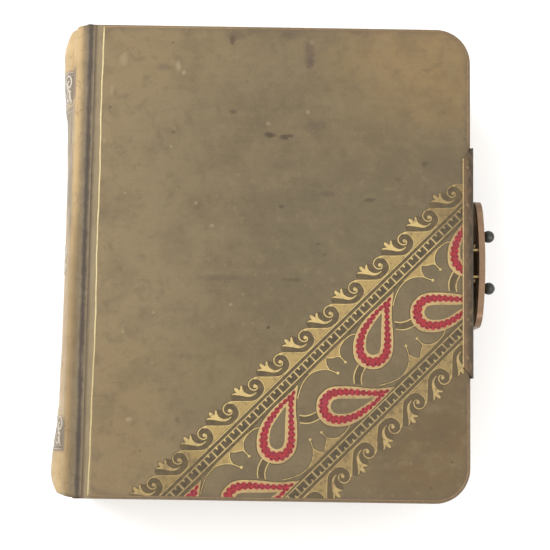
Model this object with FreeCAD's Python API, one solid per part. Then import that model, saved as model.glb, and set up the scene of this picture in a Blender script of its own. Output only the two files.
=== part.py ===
import FreeCAD, Part
import math
import os
from FreeCAD import Vector as V

os.makedirs("parts", exist_ok=True)

# ---------------------------------------------------------------- driving dimensions, mm
HEIGHT = 150.0          # boards, tail to head (Y)
BOARD_REACH = 121.5     # hinge axis to the leather fore edge (X)
THICK = 42.0            # back cover to front cover (Z)
COVER_T = 4.0           # one cover: leather, board, leather turn-in, pastedown
LEATHER_T = 0.8
PASTE_T = 0.3
CORNER_R = 11.0         # rounded fore-edge corners of the boards
EDGE_R = 1.3            # softened rim of the leather on the boards' outer face
ORIGIN_U = 60.0         # distance from the hinge axis to the row's origin
GROOVE_U = 3.7          # joint groove: slopes up from the hinge to the board's edge here
BEAD_R = 1.3            # round leather bead on the hinge axis

SPINE_BULGE = 11.0      # how far the round spine stands out past the hinge axis, at head and tail
SPINE_WAIST = [(0.0, 8.3), (25.0, 8.35), (40.0, 8.7), (50.0, 9.5), (60.0, 10.6), (75.0, 11.2)]  # |Y| and reach: the hollow back sinks between its ends
SPINE_T = 1.1           # spine leather
BAND_T = 0.3            # raised tooled bands on the spine
LEAF_H = 144.0          # leaves, tail to head
LEAF_REACH = 118.0      # hinge axis to the leaves' fore edge
LEAF_TOP_GAP = 0.35     # air between the pastedown and the first flyleaf
FLY_T = 0.3
N_GATHER = 6
FIRST_T = (0.9, 0.9, 1.2)   # three groups of front leaves that turn on their own

PLATE_LEN = 72.6        # brass edge plates along Y
PLATE_T = 0.8           # side wall
PLATE_FLANGE = 0.5      # top and bottom flanges
PLATE_REACH_IN = 2.6    # flange width over the leather

HASP_LEN = 40.0         # along Y
HASP_OUT = 4.8          # outer face of the hasp past the leather edge, at its middle
HASP_BOW = 1.15         # how much its ends curve back
HASP_DEPTH = 1.9        # folded rim
HASP_SKIN = 0.7
HASP_TOP = 40.6
HASP_BASE = 5.2
HASP_NECK = 25.0        # width at the hinge
PIN_U = BOARD_REACH + 2.45
PIN_Z = 2.2
PIN_R = 0.6
KNUCKLE_R = 1.5
KNOB_PITCH = 16.6       # between the two finger knobs, along Y
KNOB_Z = 35.0
KNOB_YC = 0.8           # the pair sits slightly towards the head
KNOB_R = 1.95
STEM_R = 0.9
KNOB_TRAVEL = 2.0
STUD_PITCH = 11.0       # keeper studs on the front plate
STUD_Z = 38.9
STUD_R = 0.75


def put(name, shape):
    shape = shape.removeSplitter() if hasattr(shape, "removeSplitter") else shape
    solids = shape.Solids
    if not solids:
        raise ValueError(name + " has no solid")
    out = solids[0] if len(solids) == 1 else Part.makeCompound(solids)
    for s in solids:
        if not s.isValid():
            print("invalid solid in", name)
    out = out.copy()
    out.translate(V(-ORIGIN_U, 0, 0))
    out.exportStep("parts/" + name + ".step")
    b = out.optimalBoundingBox(True, False)
    print("%-24s %2d  x %.2f..%.2f y %.2f..%.2f z %.2f..%.2f" % (
        name, len(solids), b.XMin, b.XMax, b.YMin, b.YMax, b.ZMin, b.ZMax))


def box(u0, u1, y0, y1, z0, z1):
    return Part.makeBox(u1 - u0, y1 - y0, z1 - z0, V(u0, y0, z0))


def face_xy(points, z):
    return Part.Face(Part.makePolygon([V(x, y, z) for x, y in points] + [V(points[0][0], points[0][1], z)]))


def outline(u0, u1, h, r, z):
    """Plate outline in plan: square at the hinge side, rounded at the two fore-edge corners."""
    y = h / 2.0
    k = r * (1 - math.sqrt(0.5))
    e = [
        Part.LineSegment(V(u0, -y, z), V(u1 - r, -y, z)).toShape(),
        Part.Arc(V(u1 - r, -y, z), V(u1 - k, -y + k, z), V(u1, -y + r, z)).toShape(),
        Part.LineSegment(V(u1, -y + r, z), V(u1, y - r, z)).toShape(),
        Part.Arc(V(u1, y - r, z), V(u1 - k, y - k, z), V(u1 - r, y, z)).toShape(),
        Part.LineSegment(V(u1 - r, y, z), V(u0, y, z)).toShape(),
        Part.LineSegment(V(u0, y, z), V(u0, -y, z)).toShape(),
    ]
    return Part.Face(Part.Wire(e))


def slab(u0, u1, h, r, z0, z1):
    return outline(u0, u1, h, r, z0).extrude(V(0, 0, z1 - z0))


def prism_y(points, y0, y1):
    """Section drawn in X-Z, run along Y."""
    w = Part.makePolygon([V(x, y0, z) for x, z in points] + [V(points[0][0], y0, points[0][1])])
    return Part.Face(w).extrude(V(0, y1 - y0, 0))


def cyl_y(u, z, r, y0, y1):
    return Part.makeCylinder(r, y1 - y0, V(u, y0, z), V(0, 1, 0))


def cyl_x(u0, u1, y, z, r):
    return Part.makeCylinder(r, u1 - u0, V(u0, y, z), V(1, 0, 0))


YH = HEIGHT / 2.0
LH = LEAF_H / 2.0
UE = BOARD_REACH
PH = PLATE_LEN / 2.0
HALF = COVER_T / 2.0
AX_F = THICK - HALF     # hinge axis heights
AX_B = HALF

# ---------------------------------------------------------------- edge plates (brass, folded over the board's rim)
# front plate: stands proud of the leather on top, wraps the fore edge, returns under the board
pz1 = THICK + PLATE_FLANGE
pz0 = THICK - COVER_T - PLATE_FLANGE
top_flange = box(UE - PLATE_REACH_IN, UE + PLATE_T, -PH, PH, THICK, pz1)
wall = box(UE, UE + PLATE_T, -PH, PH, pz0, pz1)
low_flange = box(UE - 1.9, UE + PLATE_T, -PH, PH, pz0, THICK - COVER_T)
front_plate = top_flange.fuse([wall, low_flange]).removeSplitter()
edges = [e for e in front_plate.Edges
         if abs(e.BoundBox.XMin - (UE + PLATE_T)) < 1e-6 and e.BoundBox.XLength < 1e-6
         and e.BoundBox.YLength > 10 and e.BoundBox.ZMin > THICK]
front_plate = front_plate.makeFillet(0.45, edges)
edges = [e for e in front_plate.Edges if e.BoundBox.ZLength < 1e-6 and e.BoundBox.YLength < 1e-6
         and e.BoundBox.ZMin > THICK + 0.4 and e.BoundBox.XLength > 1.0]
# slanted ends of the top flange
for s in (-1, 1):
    cutter = Part.Face(Part.makePolygon([
        V(UE - PLATE_REACH_IN - 1, s * (PH - 3.4), THICK - 0.001), V(UE - PLATE_REACH_IN - 1, s * (PH + 1), THICK - 0.001),
        V(UE + 0.2, s * (PH + 1), THICK - 0.001), V(UE + 0.2, s * (PH - 0.2), THICK - 0.001),
        V(UE - PLATE_REACH_IN + 0.4, s * (PH - 3.4), THICK - 0.001),
        V(UE - PLATE_REACH_IN - 1, s * (PH - 3.4), THICK - 0.001)])).extrude(V(0, 0, 2))
    front_plate = front_plate.cut(cutter)
stud_y = [-STUD_PITCH / 2.0, STUD_PITCH / 2.0]

# back plate: let into the leather so the cover stays flat, with the hinge knuckles
back_plate = box(UE - PLATE_REACH_IN, UE + PLATE_T, -PH, PH, 0.0, PLATE_FLANGE).fuse([
    box(UE, UE + PLATE_T, -PH, PH, 0.0, COVER_T + PLATE_FLANGE),
    box(UE - 1.9, UE + PLATE_T, -PH, PH, COVER_T, COVER_T + PLATE_FLANGE)]).removeSplitter()
kn = [(-12.0, -7.6), (-2.4, 2.4), (7.6, 12.0)]
hk = [(-7.4, -2.6), (2.6, 7.4)]
for a, b in kn:
    web = box(UE + PLATE_T - 0.1, PIN_U, a, b, PIN_Z - KNUCKLE_R, PIN_Z - KNUCKLE_R + 0.8)
    back_plate = back_plate.fuse([web, cyl_y(PIN_U, PIN_Z, KNUCKLE_R, a, b)])
back_plate = back_plate.cut(cyl_y(PIN_U, PIN_Z, PIN_R + 0.03, -13, 13)).removeSplitter()

# ---------------------------------------------------------------- covers
def cover(z_out, z_in, plate, axis_z, up):
    """Leather shell, board core and pastedown of one cover. z_out is the outer face."""
    lo, hi = min(z_out, z_in), max(z_out, z_in)
    body = slab(0.0, UE, HEIGHT, CORNER_R, lo, hi)
    # softened rim on the outer face
    rim = [e for e in body.Edges if abs(e.BoundBox.ZMin - z_out) < 1e-6 and abs(e.BoundBox.ZMax - z_out) < 1e-6
           and e.BoundBox.XMax > 1.0 and not (e.BoundBox.XLength < 1e-6 and e.BoundBox.XMin < 1.0)]
    body = body.makeFillet(EDGE_R, rim)
    inner = [e for e in body.Edges if abs(e.BoundBox.ZMin - z_in) < 1e-6 and abs(e.BoundBox.ZMax - z_in) < 1e-6
             and e.BoundBox.XMax > 1.0 and not (e.BoundBox.XLength < 1e-6 and e.BoundBox.XMin < 1.0)]
    body = body.makeFillet(0.5, inner)
    # round hinge bead on the axis, and the slope of the joint groove up to the board's edge
    bead = cyl_y(0.0, axis_z, BEAD_R, -YH, YH)
    body = body.fuse(bead).removeSplitter()
    za = axis_z + up * (BEAD_R - 0.1)
    groove = prism_y([(-3.0, z_out + up * 0.01), (GROOVE_U, z_out + up * 0.01), (GROOVE_U, z_out),
                      (GROOVE_U - 0.5, z_out - up * 0.12), (1.1, za), (0.3, za + up * 0.1), (-3.0, za + up * 0.1)],
                     -YH - 1, YH + 1)
    body = body.cut(groove)
    core_lo = lo + LEATHER_T
    core_hi = hi - LEATHER_T
    core = slab(4.2, UE - LEATHER_T, HEIGHT - 2 * LEATHER_T, CORNER_R - LEATHER_T, core_lo, core_hi)
    # pastedown: let into the inner face, 4 mm in from the turned-in leather
    if up > 0:
        paste = slab(6.0, UE - 4.0, HEIGHT - 8.0, CORNER_R - 4.0, z_in, z_in + PASTE_T)
    else:
        paste = slab(6.0, UE - 4.0, HEIGHT - 8.0, CORNER_R - 4.0, z_in - PASTE_T, z_in)
    leather = body.cut(core).cut(paste).cut(plate)
    return leather.removeSplitter(), core, paste


fl, fc, fp = cover(THICK, THICK - COVER_T, front_plate, AX_F, 1)
bl, bc, bp = cover(0.0, COVER_T, back_plate, AX_B, -1)

# rivets that pin each plate through its board
riv_y = [-30.0, -24.0 + 6.0, 24.0 - 6.0, 30.0]
def rivets(z0, z1):
    return [Part.makeCylinder(0.55, z1 - z0, V(UE - 1.15, y, z0), V(0, 0, 1)) for y in riv_y]

fr = rivets(THICK - COVER_T - PLATE_FLANGE, THICK + PLATE_FLANGE + 0.18)
br = rivets(0.0, COVER_T + PLATE_FLANGE + 0.15)
for r in fr:
    front_plate = front_plate.cut(r); fl = fl.cut(r); fc = fc.cut(r)
for r in br:
    back_plate = back_plate.cut(r); bl = bl.cut(r); bc = bc.cut(r)
put("front_cover_leather", fl)
put("front_board", fc)
put("front_pastedown", fp)
put("back_cover_leather", bl)
put("back_board", bc)
put("back_pastedown", bp)
put("front_edge_plate", front_plate)
put("back_edge_plate", back_plate)
put("front_plate_rivets", Part.makeCompound(fr))
put("back_plate_rivets", Part.makeCompound(br))

# keeper studs on the front plate: short headed pins the catch spring hooks under
studs = []
for y in stud_y:
    studs.append(cyl_x(UE + PLATE_T, UE + PLATE_T + 0.55, y, STUD_Z, STUD_R * 0.6).fuse(
        cyl_x(UE + PLATE_T + 0.5, UE + PLATE_T + 0.95, y, STUD_Z, STUD_R)).removeSplitter())
put("keeper_studs", Part.makeCompound(studs))

# ---------------------------------------------------------------- spine and text block
Z_LO = COVER_T + 0.3
Z_HI = THICK - COVER_T - 0.3
ZM = THICK / 2.0

def arc_u(z, bulge, half):
    """Offset of a shallow circular arc of sagitta bulge over +-half, at height z."""
    r = (half * half + bulge * bulge) / (2 * bulge)
    return -(math.sqrt(max(r * r - (z - ZM) ** 2, 0.0)) - (r - bulge))

HALF_Z = (Z_HI - Z_LO) / 2.0

def arc_edge(u0, bulge, half, y):
    return Part.Arc(V(u0, y, ZM - half), V(u0 - bulge, y, ZM), V(u0, y, ZM + half)).toShape()

def back_section(u0, bulge, half, y, u_close):
    """Closed X-Z section: round back on the left, straight on the right at u_close."""
    e = [arc_edge(u0, bulge, half, y)]
    if u_close - u0 < 1e-6:
        e.append(Part.LineSegment(V(u0, y, ZM + half), V(u0, y, ZM - half)).toShape())
    else:
        e += [Part.LineSegment(V(u0, y, ZM + half), V(u_close, y, ZM + half)).toShape(),
              Part.LineSegment(V(u_close, y, ZM + half), V(u_close, y, ZM - half)).toShape(),
              Part.LineSegment(V(u_close, y, ZM - half), V(u0, y, ZM - half)).toShape()]
    return Part.Face(Part.Wire(Part.__sortEdges__(e)))

def back_solid(u0, bulge, half, h, u_close):
    return back_section(u0, bulge, half, -h, u_close).extrude(V(0, 2 * h, 0))

U_SH = -3.6                                # where the spine leather leaves the shoulders
B_MID = SPINE_WAIST[0][1] + U_SH

def d_wire(u0, bulge, half, y):
    return Part.Wire([arc_edge(u0, bulge, half, y),
                      Part.LineSegment(V(u0, y, ZM + half), V(u0, y, ZM - half)).toShape()])

def waisted(u0, grow, half, y_end):
    """Round-backed solid whose bulge follows SPINE_WAIST along Y, plus grow."""
    ys = [-y for y, b in SPINE_WAIST[::-1]] + [y for y, b in SPINE_WAIST[1:]]
    bs = [b for y, b in SPINE_WAIST[::-1]] + [b for y, b in SPINE_WAIST[1:]]
    ys[0], ys[-1] = -y_end, y_end
    wires = [d_wire(u0, b + U_SH + grow, half, y) for y, b in zip(ys, bs)]
    return Part.makeLoft(wires, True, True)

skin_out = waisted(U_SH, -BAND_T, HALF_Z, YH - 0.3)
skin_in = waisted(U_SH, -BAND_T - SPINE_T, HALF_Z - 1.4, YH + 1)
spine = skin_out.cut(skin_in)
# rounded head and tail caps, seen from the cover side
cap_r = 6.0
for s in (-1, 1):
    yc = s * (YH - 0.3 - cap_r)
    uc = -SPINE_BULGE + BAND_T + cap_r
    blk = box(-SPINE_BULGE - 1, uc, min(yc, s * (YH + 1)), max(yc, s * (YH + 1)), Z_LO - 1, Z_HI + 1)
    rnd = Part.makeCylinder(cap_r, Z_HI - Z_LO + 4, V(uc, yc, Z_LO - 2), V(0, 0, 1))
    spine = spine.cut(blk.cut(rnd))
put("spine_leather", spine)

# tooled bands and the centre ornament, raised on the spine
skin_band = waisted(U_SH, 0.0, HALF_Z, YH)
def spine_ring(y0, y1):
    a = skin_band.common(box(-20, U_SH - 0.6, y0, y1, Z_LO + 1.4, Z_HI - 1.4))
    return a.cut(waisted(U_SH, -BAND_T, HALF_Z, YH + 0.01))

put("spine_head_band", spine_ring(48.5, 60.5))
put("spine_tail_band", spine_ring(-60.5, -49.5))
put("spine_centre_ornament", spine_ring(-5.0, 5.0))

# spine liner (stiff paper under the leather)
LB = B_MID - BAND_T - SPINE_T - 0.05
liner_o = back_solid(U_SH, LB, HALF_Z - 1.5, LH + 0.6, U_SH)
liner_i = back_solid(U_SH, LB - 0.45, HALF_Z - 2.0, LH + 3, U_SH + 1)
put("spine_liner", liner_o.cut(liner_i))

GU = -2.4                                  # shoulder of the rounded text block
GB_IN = (SPINE_WAIST[0][1] - BAND_T - SPINE_T - 0.5 - 0.75 + GU) / 0.92
# leaf stack limits in height
z_top = THICK - COVER_T - LEAF_TOP_GAP
z_bot = COVER_T + 0.5
fly_top = (z_top - FLY_T, z_top)
lev = z_top - FLY_T - 0.12
first = []
for t in FIRST_T:
    first.append((lev - t, lev)); lev -= t + 0.12
blk_hi = lev
blk_lo = z_bot + FLY_T + 0.12
step = (blk_hi - blk_lo) / N_GATHER

BZM = (blk_hi + blk_lo) / 2.0
BH = (blk_hi - blk_lo) / 2.0

def block_u(z, back):
    """Round back and hollow fore edge of the sewn block at height z."""
    t = (z - BZM) / BH
    if back:
        return GU - GB_IN * (1 - t * t) * 0.92
    return LEAF_REACH - 2.4 * (1 - t * t)

def gathering(z0, z1, y_half, grow=0.0):
    n = 4
    left, right = [], []
    for i in range(n + 1):
        z = z0 + (z1 - z0) * i / n
        left.append((block_u(z, True), z)); right.append((block_u(z, False), z))
    pts = left + right[::-1]
    return prism_y(pts, -y_half, y_half)

cords_y = [-52.0, -26.0, 0.0, 26.0, 52.0]
cord_solids = []
for i in range(N_GATHER):
    z0 = blk_lo + step * i
    z1 = z0 + step - 0.02
    put("gathering_%d" % (i + 1), gathering(z0, z1, LH))
# sewing cords: flat tapes across the back of the sewn gatherings
for y in cords_y:
    n = 14
    out_, in_ = [], []
    for i in range(n + 1):
        z = blk_lo + 3.2 + (blk_hi - 1.0 - blk_lo - 3.2) * i / n
        t = (z - BZM) / BH
        uo = GU - (GB_IN * 0.92) * (1 - t * t)
        in_.append((uo - 0.06, z)); out_.append((uo - 0.40, z))
    cord_solids.append(prism_y(out_ + in_[::-1], y - 3.0, y + 3.0))
put("sewing_tapes", Part.makeCompound(cord_solids))
# endbands: small worked rolls at head and tail of the sewn back
for s, nm in ((1, "headband"), (-1, "tailband")):
    n = 14
    out_, in_ = [], []
    for i in range(n + 1):
        z = blk_lo + 0.6 + (blk_hi - 1.2 - blk_lo) * i / n
        t = (z - BZM) / BH
        uo = GU - (GB_IN * 0.92) * (1 - t * t)
        out_.append((uo - 0.25, z)); in_.append((uo + 1.35, z))
    y0 = s * (LH + 0.02)
    y1 = s * (LH + 1.5)
    put(nm, prism_y(out_ + in_[::-1], min(y0, y1), max(y0, y1)))

# flyleaves and the first leaf groups, each free to turn about its cover's hinge
def leaf(z0, z1, u0=0.5):
    return slab(u0, LEAF_REACH, LEAF_H, 1.0, z0, z1)

put("front_flyleaf", leaf(*fly_top))
for i, (a, b) in enumerate(first):
    put("front_leaves_%d" % (i + 1), leaf(a, b))
put("back_flyleaf", leaf(z_bot, z_bot + FLY_T))

# ---------------------------------------------------------------- joint leather over both shoulders
def joint_strip(up):
    """Soft leather from the spine's shoulder to the cover's rounded edge, clear of both."""
    z_ax = AX_F if up else AX_B
    s = 1 if up else -1
    outer_ = [(-7.6, z_ax - s * 2.75), (-6.6, z_ax - s * 1.2), (-5.0, z_ax + s * 0.3), (-3.6, z_ax + s * 0.95)]
    inner_ = [(-3.2, z_ax + s * 0.3), (-4.6, z_ax - s * 0.35), (-5.7, z_ax - s * 1.5), (-6.3, z_ax - s * 2.6)]
    return prism_y(outer_ + inner_, -YH + 0.6, YH - 0.6)

# clear of the spine shell: the strip starts just outside the shell's shoulder
clear = waisted(U_SH, -BAND_T + 0.05, HALF_Z + 0.05, YH + 1)
fj = joint_strip(True).cut(clear)
bj = joint_strip(False).cut(clear)
put("front_joint_leather", max(fj.Solids, key=lambda s_: s_.Volume))
put("back_joint_leather", max(bj.Solids, key=lambda s_: s_.Volume))

# ---------------------------------------------------------------- hasp: bowed brass tray hinged on the back plate
HU = UE + HASP_OUT
HY = HASP_LEN / 2.0
def bow_face(u_mid, y_half, bow, z):
    return Part.Arc(V(u_mid - bow, -y_half, z), V(u_mid, 0, z), V(u_mid - bow, y_half, z)).toShape()

def bowed(u_out, u_in, y_half, bow, z0, z1):
    e = [bow_face(u_out, y_half, bow, z0), bow_face(u_in, y_half, bow, z0),
         Part.LineSegment(V(u_out - bow, -y_half, z0), V(u_in - bow, -y_half, z0)).toShape(),
         Part.LineSegment(V(u_out - bow, y_half, z0), V(u_in - bow, y_half, z0)).toShape()]
    return Part.Face(Part.Wire(Part.__sortEdges__(e))).extrude(V(0, 0, z1 - z0))

def shield(h, top_r, grow=0.0):
    """Front view of the hasp in Y-Z: round shoulders above, narrowing to the hinge."""
    y = h - grow
    zt = HASP_TOP - grow
    zb = HASP_BASE + 0.0
    n = HASP_NECK / 2.0 - grow
    k = top_r * (1 - math.sqrt(0.5))
    p = lambda a, b: V(UE - 5, a, b)
    e = [Part.Arc(p(-y, zt - top_r), p(-y + k, zt - k), p(-y + top_r, zt)).toShape(),
         Part.LineSegment(p(-y + top_r, zt), p(y - top_r, zt)).toShape(),
         Part.Arc(p(y - top_r, zt), p(y - k, zt - k), p(y, zt - top_r)).toShape(),
         Part.LineSegment(p(y, zt - top_r), p(y, 20.0)).toShape(),
         Part.Arc(p(y, 20.0), p((y + n) / 2 + 0.9, 14.2), p(n, 9.5)).toShape(),
         Part.LineSegment(p(n, 9.5), p(n, zb)).toShape(),
         Part.LineSegment(p(n, zb), p(-n, zb)).toShape(),
         Part.LineSegment(p(-n, zb), p(-n, 9.5)).toShape(),
         Part.Arc(p(-n, 9.5), p(-(y + n) / 2 - 0.9, 14.2), p(-y, 20.0)).toShape(),
         Part.LineSegment(p(-y, 20.0), p(-y, zt - top_r)).toShape()]
    return Part.Face(Part.Wire(e)).extrude(V(20, 0, 0))

full = bowed(HU, HU - HASP_DEPTH, HY, HASP_BOW, HASP_BASE, HASP_TOP).common(shield(HY, 4.5))
cavity = bowed(HU - HASP_SKIN, HU - HASP_DEPTH - 1, HY, HASP_BOW, HASP_BASE - 1, HASP_TOP).common(shield(HY, 4.5, 0.8))
hasp = full.cut(cavity)
# slots for the knob stems: each stem runs inwards by the travel
for s in (-1, 1):
    ya = KNOB_YC + s * KNOB_PITCH / 2.0
    yb = ya - s * KNOB_TRAVEL
    y0, y1 = min(ya, yb), max(ya, yb)
    sr = STEM_R + 0.05
    slot = box(HU - 4, HU + 2, y0, y1, KNOB_Z - sr, KNOB_Z + sr).fuse([
        cyl_x(HU - 4, HU + 2, y0, KNOB_Z, sr), cyl_x(HU - 4, HU + 2, y1, KNOB_Z, sr)])
    hasp = hasp.cut(slot)
for y in (-2.6, 2.6):
    hasp = hasp.cut(cyl_x(HU - 4, HU + 2, y, 19.3, 0.5))
# neck bent in to the hinge pin, and its knuckles
NW = HASP_NECK / 2.0
neck_out = [(HU - 0.42, HASP_BASE + 0.6), (HU - 0.42, HASP_BASE - 0.2), (PIN_U + KNUCKLE_R, PIN_Z + 0.6),
            (PIN_U + KNUCKLE_R - 0.75, PIN_Z + 0.6), (HU - 1.15, HASP_BASE - 0.1), (HU - 1.15, HASP_BASE + 0.6)]
for a, b in hk:
    neck = prism_y(neck_out, a, b)
    hasp = hasp.fuse([neck, cyl_y(PIN_U, PIN_Z, KNUCKLE_R, a, b)])
hasp = hasp.fuse(prism_y([(HU - 1.15, HASP_BASE - 0.1), (HU - 0.42, HASP_BASE - 0.2), (HU - 0.42, HASP_BASE + 0.8), (HU - 1.15, HASP_BASE + 0.8)], -10.0, 10.0))
hasp = hasp.cut(cyl_y(PIN_U, PIN_Z, PIN_R + 0.03, -13, 13)).removeSplitter()
put("hasp_plate", hasp)
put("hasp_hinge_pin", cyl_y(PIN_U, PIN_Z, PIN_R, -12.4, 12.4))

# backing plate inside the tray: closes the spring in
BK_U = HU - HASP_DEPTH
backing = bowed(BK_U + 0.30, BK_U, HY - 1.2, HASP_BOW * ((HY - 1.2) / HY) ** 2, 16.0, HASP_TOP - 3.6)
for s in (-1, 1):
    ya = KNOB_YC + s * KNOB_PITCH / 2.0
    yb = ya - s * KNOB_TRAVEL
    y0, y1 = min(ya, yb), max(ya, yb)
    backing = backing.cut(box(BK_U - 2, BK_U + 2, y0 - STEM_R - 0.1, y1 + STEM_R + 0.1, KNOB_Z - STEM_R - 0.1, KNOB_Z + STEM_R + 0.1))
put("hasp_backing", backing.common(shield(HY, 4.5, 0.9)))

# ---------------------------------------------------------------- finger knobs and their spring
SP_U = HU - HASP_DEPTH + 0.36
SP_T = 0.30
def knob(y):
    face = HU - HASP_BOW * (y / HY) ** 2
    head_c = face + 2.05
    stem = cyl_x(SP_U + SP_T + 0.02, face + 1.3, y, KNOB_Z, STEM_R)
    collar = Part.makeCone(1.35, 1.05, 0.9, V(face + 0.27, y, KNOB_Z), V(1, 0, 0))
    head = Part.makeSphere(KNOB_R, V(head_c, y, KNOB_Z))
    flat = box(head_c - 1.4, head_c + 3.0, y - 4, y + 4, KNOB_Z - 4, KNOB_Z + 4)
    return stem.fuse([collar, head.common(flat)]).removeSplitter()

put("upper_knob", knob(KNOB_YC + KNOB_PITCH / 2.0))
put("lower_knob", knob(KNOB_YC - KNOB_PITCH / 2.0))
# catch spring: bent brass strip. Two arms carry the knob stems, and a nose at each
# arm's end reaches back past the rim and hooks behind the head of its stud
ARM_Y0, ARM_Y1 = 3.9, 4.6
spring = []
for s in (-1, 1):
    lo, hi = min(s * ARM_Y0, s * ARM_Y1), max(s * ARM_Y0, s * ARM_Y1)
    spring.append(box(SP_U, SP_U + SP_T, lo, hi, 20.0, STUD_Z + 0.5))
    tab0, tab1 = sorted((s * (ARM_Y1 - 0.05), KNOB_YC + s * (KNOB_PITCH / 2.0 + 0.8)))
    spring.append(box(SP_U, SP_U + SP_T, tab0, tab1, KNOB_Z - 0.9, KNOB_Z + 0.9))
    spring.append(box(UE + PLATE_T + 0.12, SP_U + SP_T, lo, hi, STUD_Z - 0.4, STUD_Z + 0.5))
    t0, t1 = sorted((s * (ARM_Y1 - 0.05), s * (ARM_Y1 + 0.34)))
    spring.append(box(UE + PLATE_T + 0.12, UE + PLATE_T + 0.4, t0, t1, STUD_Z - 0.4, STUD_Z + 0.5))
bridge = box(SP_U, SP_U + SP_T, -ARM_Y1, ARM_Y1, 18.6, 20.1)
put("catch_spring", bridge.fuse(spring).removeSplitter())
# two small rivets hold the spring's bridge to the tray
sr = [cyl_x(SP_U + SP_T, HU + 0.12, y, 19.3, 0.5) for y in (-2.6, 2.6)]
put("spring_rivets", Part.makeCompound(sr))
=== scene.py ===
import bpy, bmesh, math, random
from mathutils import Vector, Matrix, noise as mnoise
from mathutils.geometry import tessellate_polygon


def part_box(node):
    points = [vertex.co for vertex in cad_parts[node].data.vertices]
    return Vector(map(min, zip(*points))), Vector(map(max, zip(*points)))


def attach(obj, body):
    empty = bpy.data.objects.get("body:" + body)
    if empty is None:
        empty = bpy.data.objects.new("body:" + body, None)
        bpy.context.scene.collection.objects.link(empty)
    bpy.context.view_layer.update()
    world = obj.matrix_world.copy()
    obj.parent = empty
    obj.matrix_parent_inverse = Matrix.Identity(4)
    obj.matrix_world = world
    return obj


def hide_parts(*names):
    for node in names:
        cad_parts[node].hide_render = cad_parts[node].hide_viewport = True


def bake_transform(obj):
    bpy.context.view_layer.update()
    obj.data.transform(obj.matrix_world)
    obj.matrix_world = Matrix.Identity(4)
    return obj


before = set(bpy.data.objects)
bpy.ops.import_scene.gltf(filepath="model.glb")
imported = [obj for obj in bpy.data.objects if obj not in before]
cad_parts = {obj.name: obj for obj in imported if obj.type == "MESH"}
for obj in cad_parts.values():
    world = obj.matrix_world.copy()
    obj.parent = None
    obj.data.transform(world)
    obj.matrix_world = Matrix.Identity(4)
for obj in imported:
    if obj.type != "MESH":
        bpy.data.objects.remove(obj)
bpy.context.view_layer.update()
R = random.Random(11)

# ------------------------------------------------------------------ places (mm): u from the front hinge, v from the tail, z up
BX0, BX1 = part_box("front_cover_leather")
U0 = -0.060
H2 = 75.0
TOP = BX1.z * 1000.0            # top of the front cover, 42
UE = (BX1.x - U0) * 1000.0      # fore edge of the leather, 121.5


def P(u, v, z):
    return Vector((U0 + u / 1000.0, (v - H2) / 1000.0, z / 1000.0))


# ------------------------------------------------------------------ camera
def add_camera():
    f, t, rx, ry, rz = 1329.95, Vector((-0.205, 0.302, -458.38)), -0.110271, 0.0012556, -0.0151780
    rot = Matrix.Rotation(rx, 3, "X") @ Matrix.Rotation(ry, 3, "Y") @ Matrix.Rotation(rz, 3, "Z")
    cam = bpy.data.cameras.new("camera")
    cam.lens = f * 36.0 / 550.0
    cam.sensor_width = 36.0
    cam.clip_start = 0.01
    ob = bpy.data.objects.new("camera", cam)
    inv = rot.transposed()
    m = inv.to_4x4()
    m.translation = (inv @ (-t)) / 1000.0
    ob.matrix_world = m
    bpy.context.scene.collection.objects.link(ob)
    bpy.context.scene.camera = ob


add_camera()
bpy.context.scene.view_settings.view_transform = "Standard"
bpy.context.scene.view_settings.look = "None"


# ------------------------------------------------------------------ node helper
LEATHER = (0.50, 0.475, 0.425)
METAL = (0.80, 0.80, 0.80)
PAPER = (0.72, 0.72, 0.70)


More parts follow.
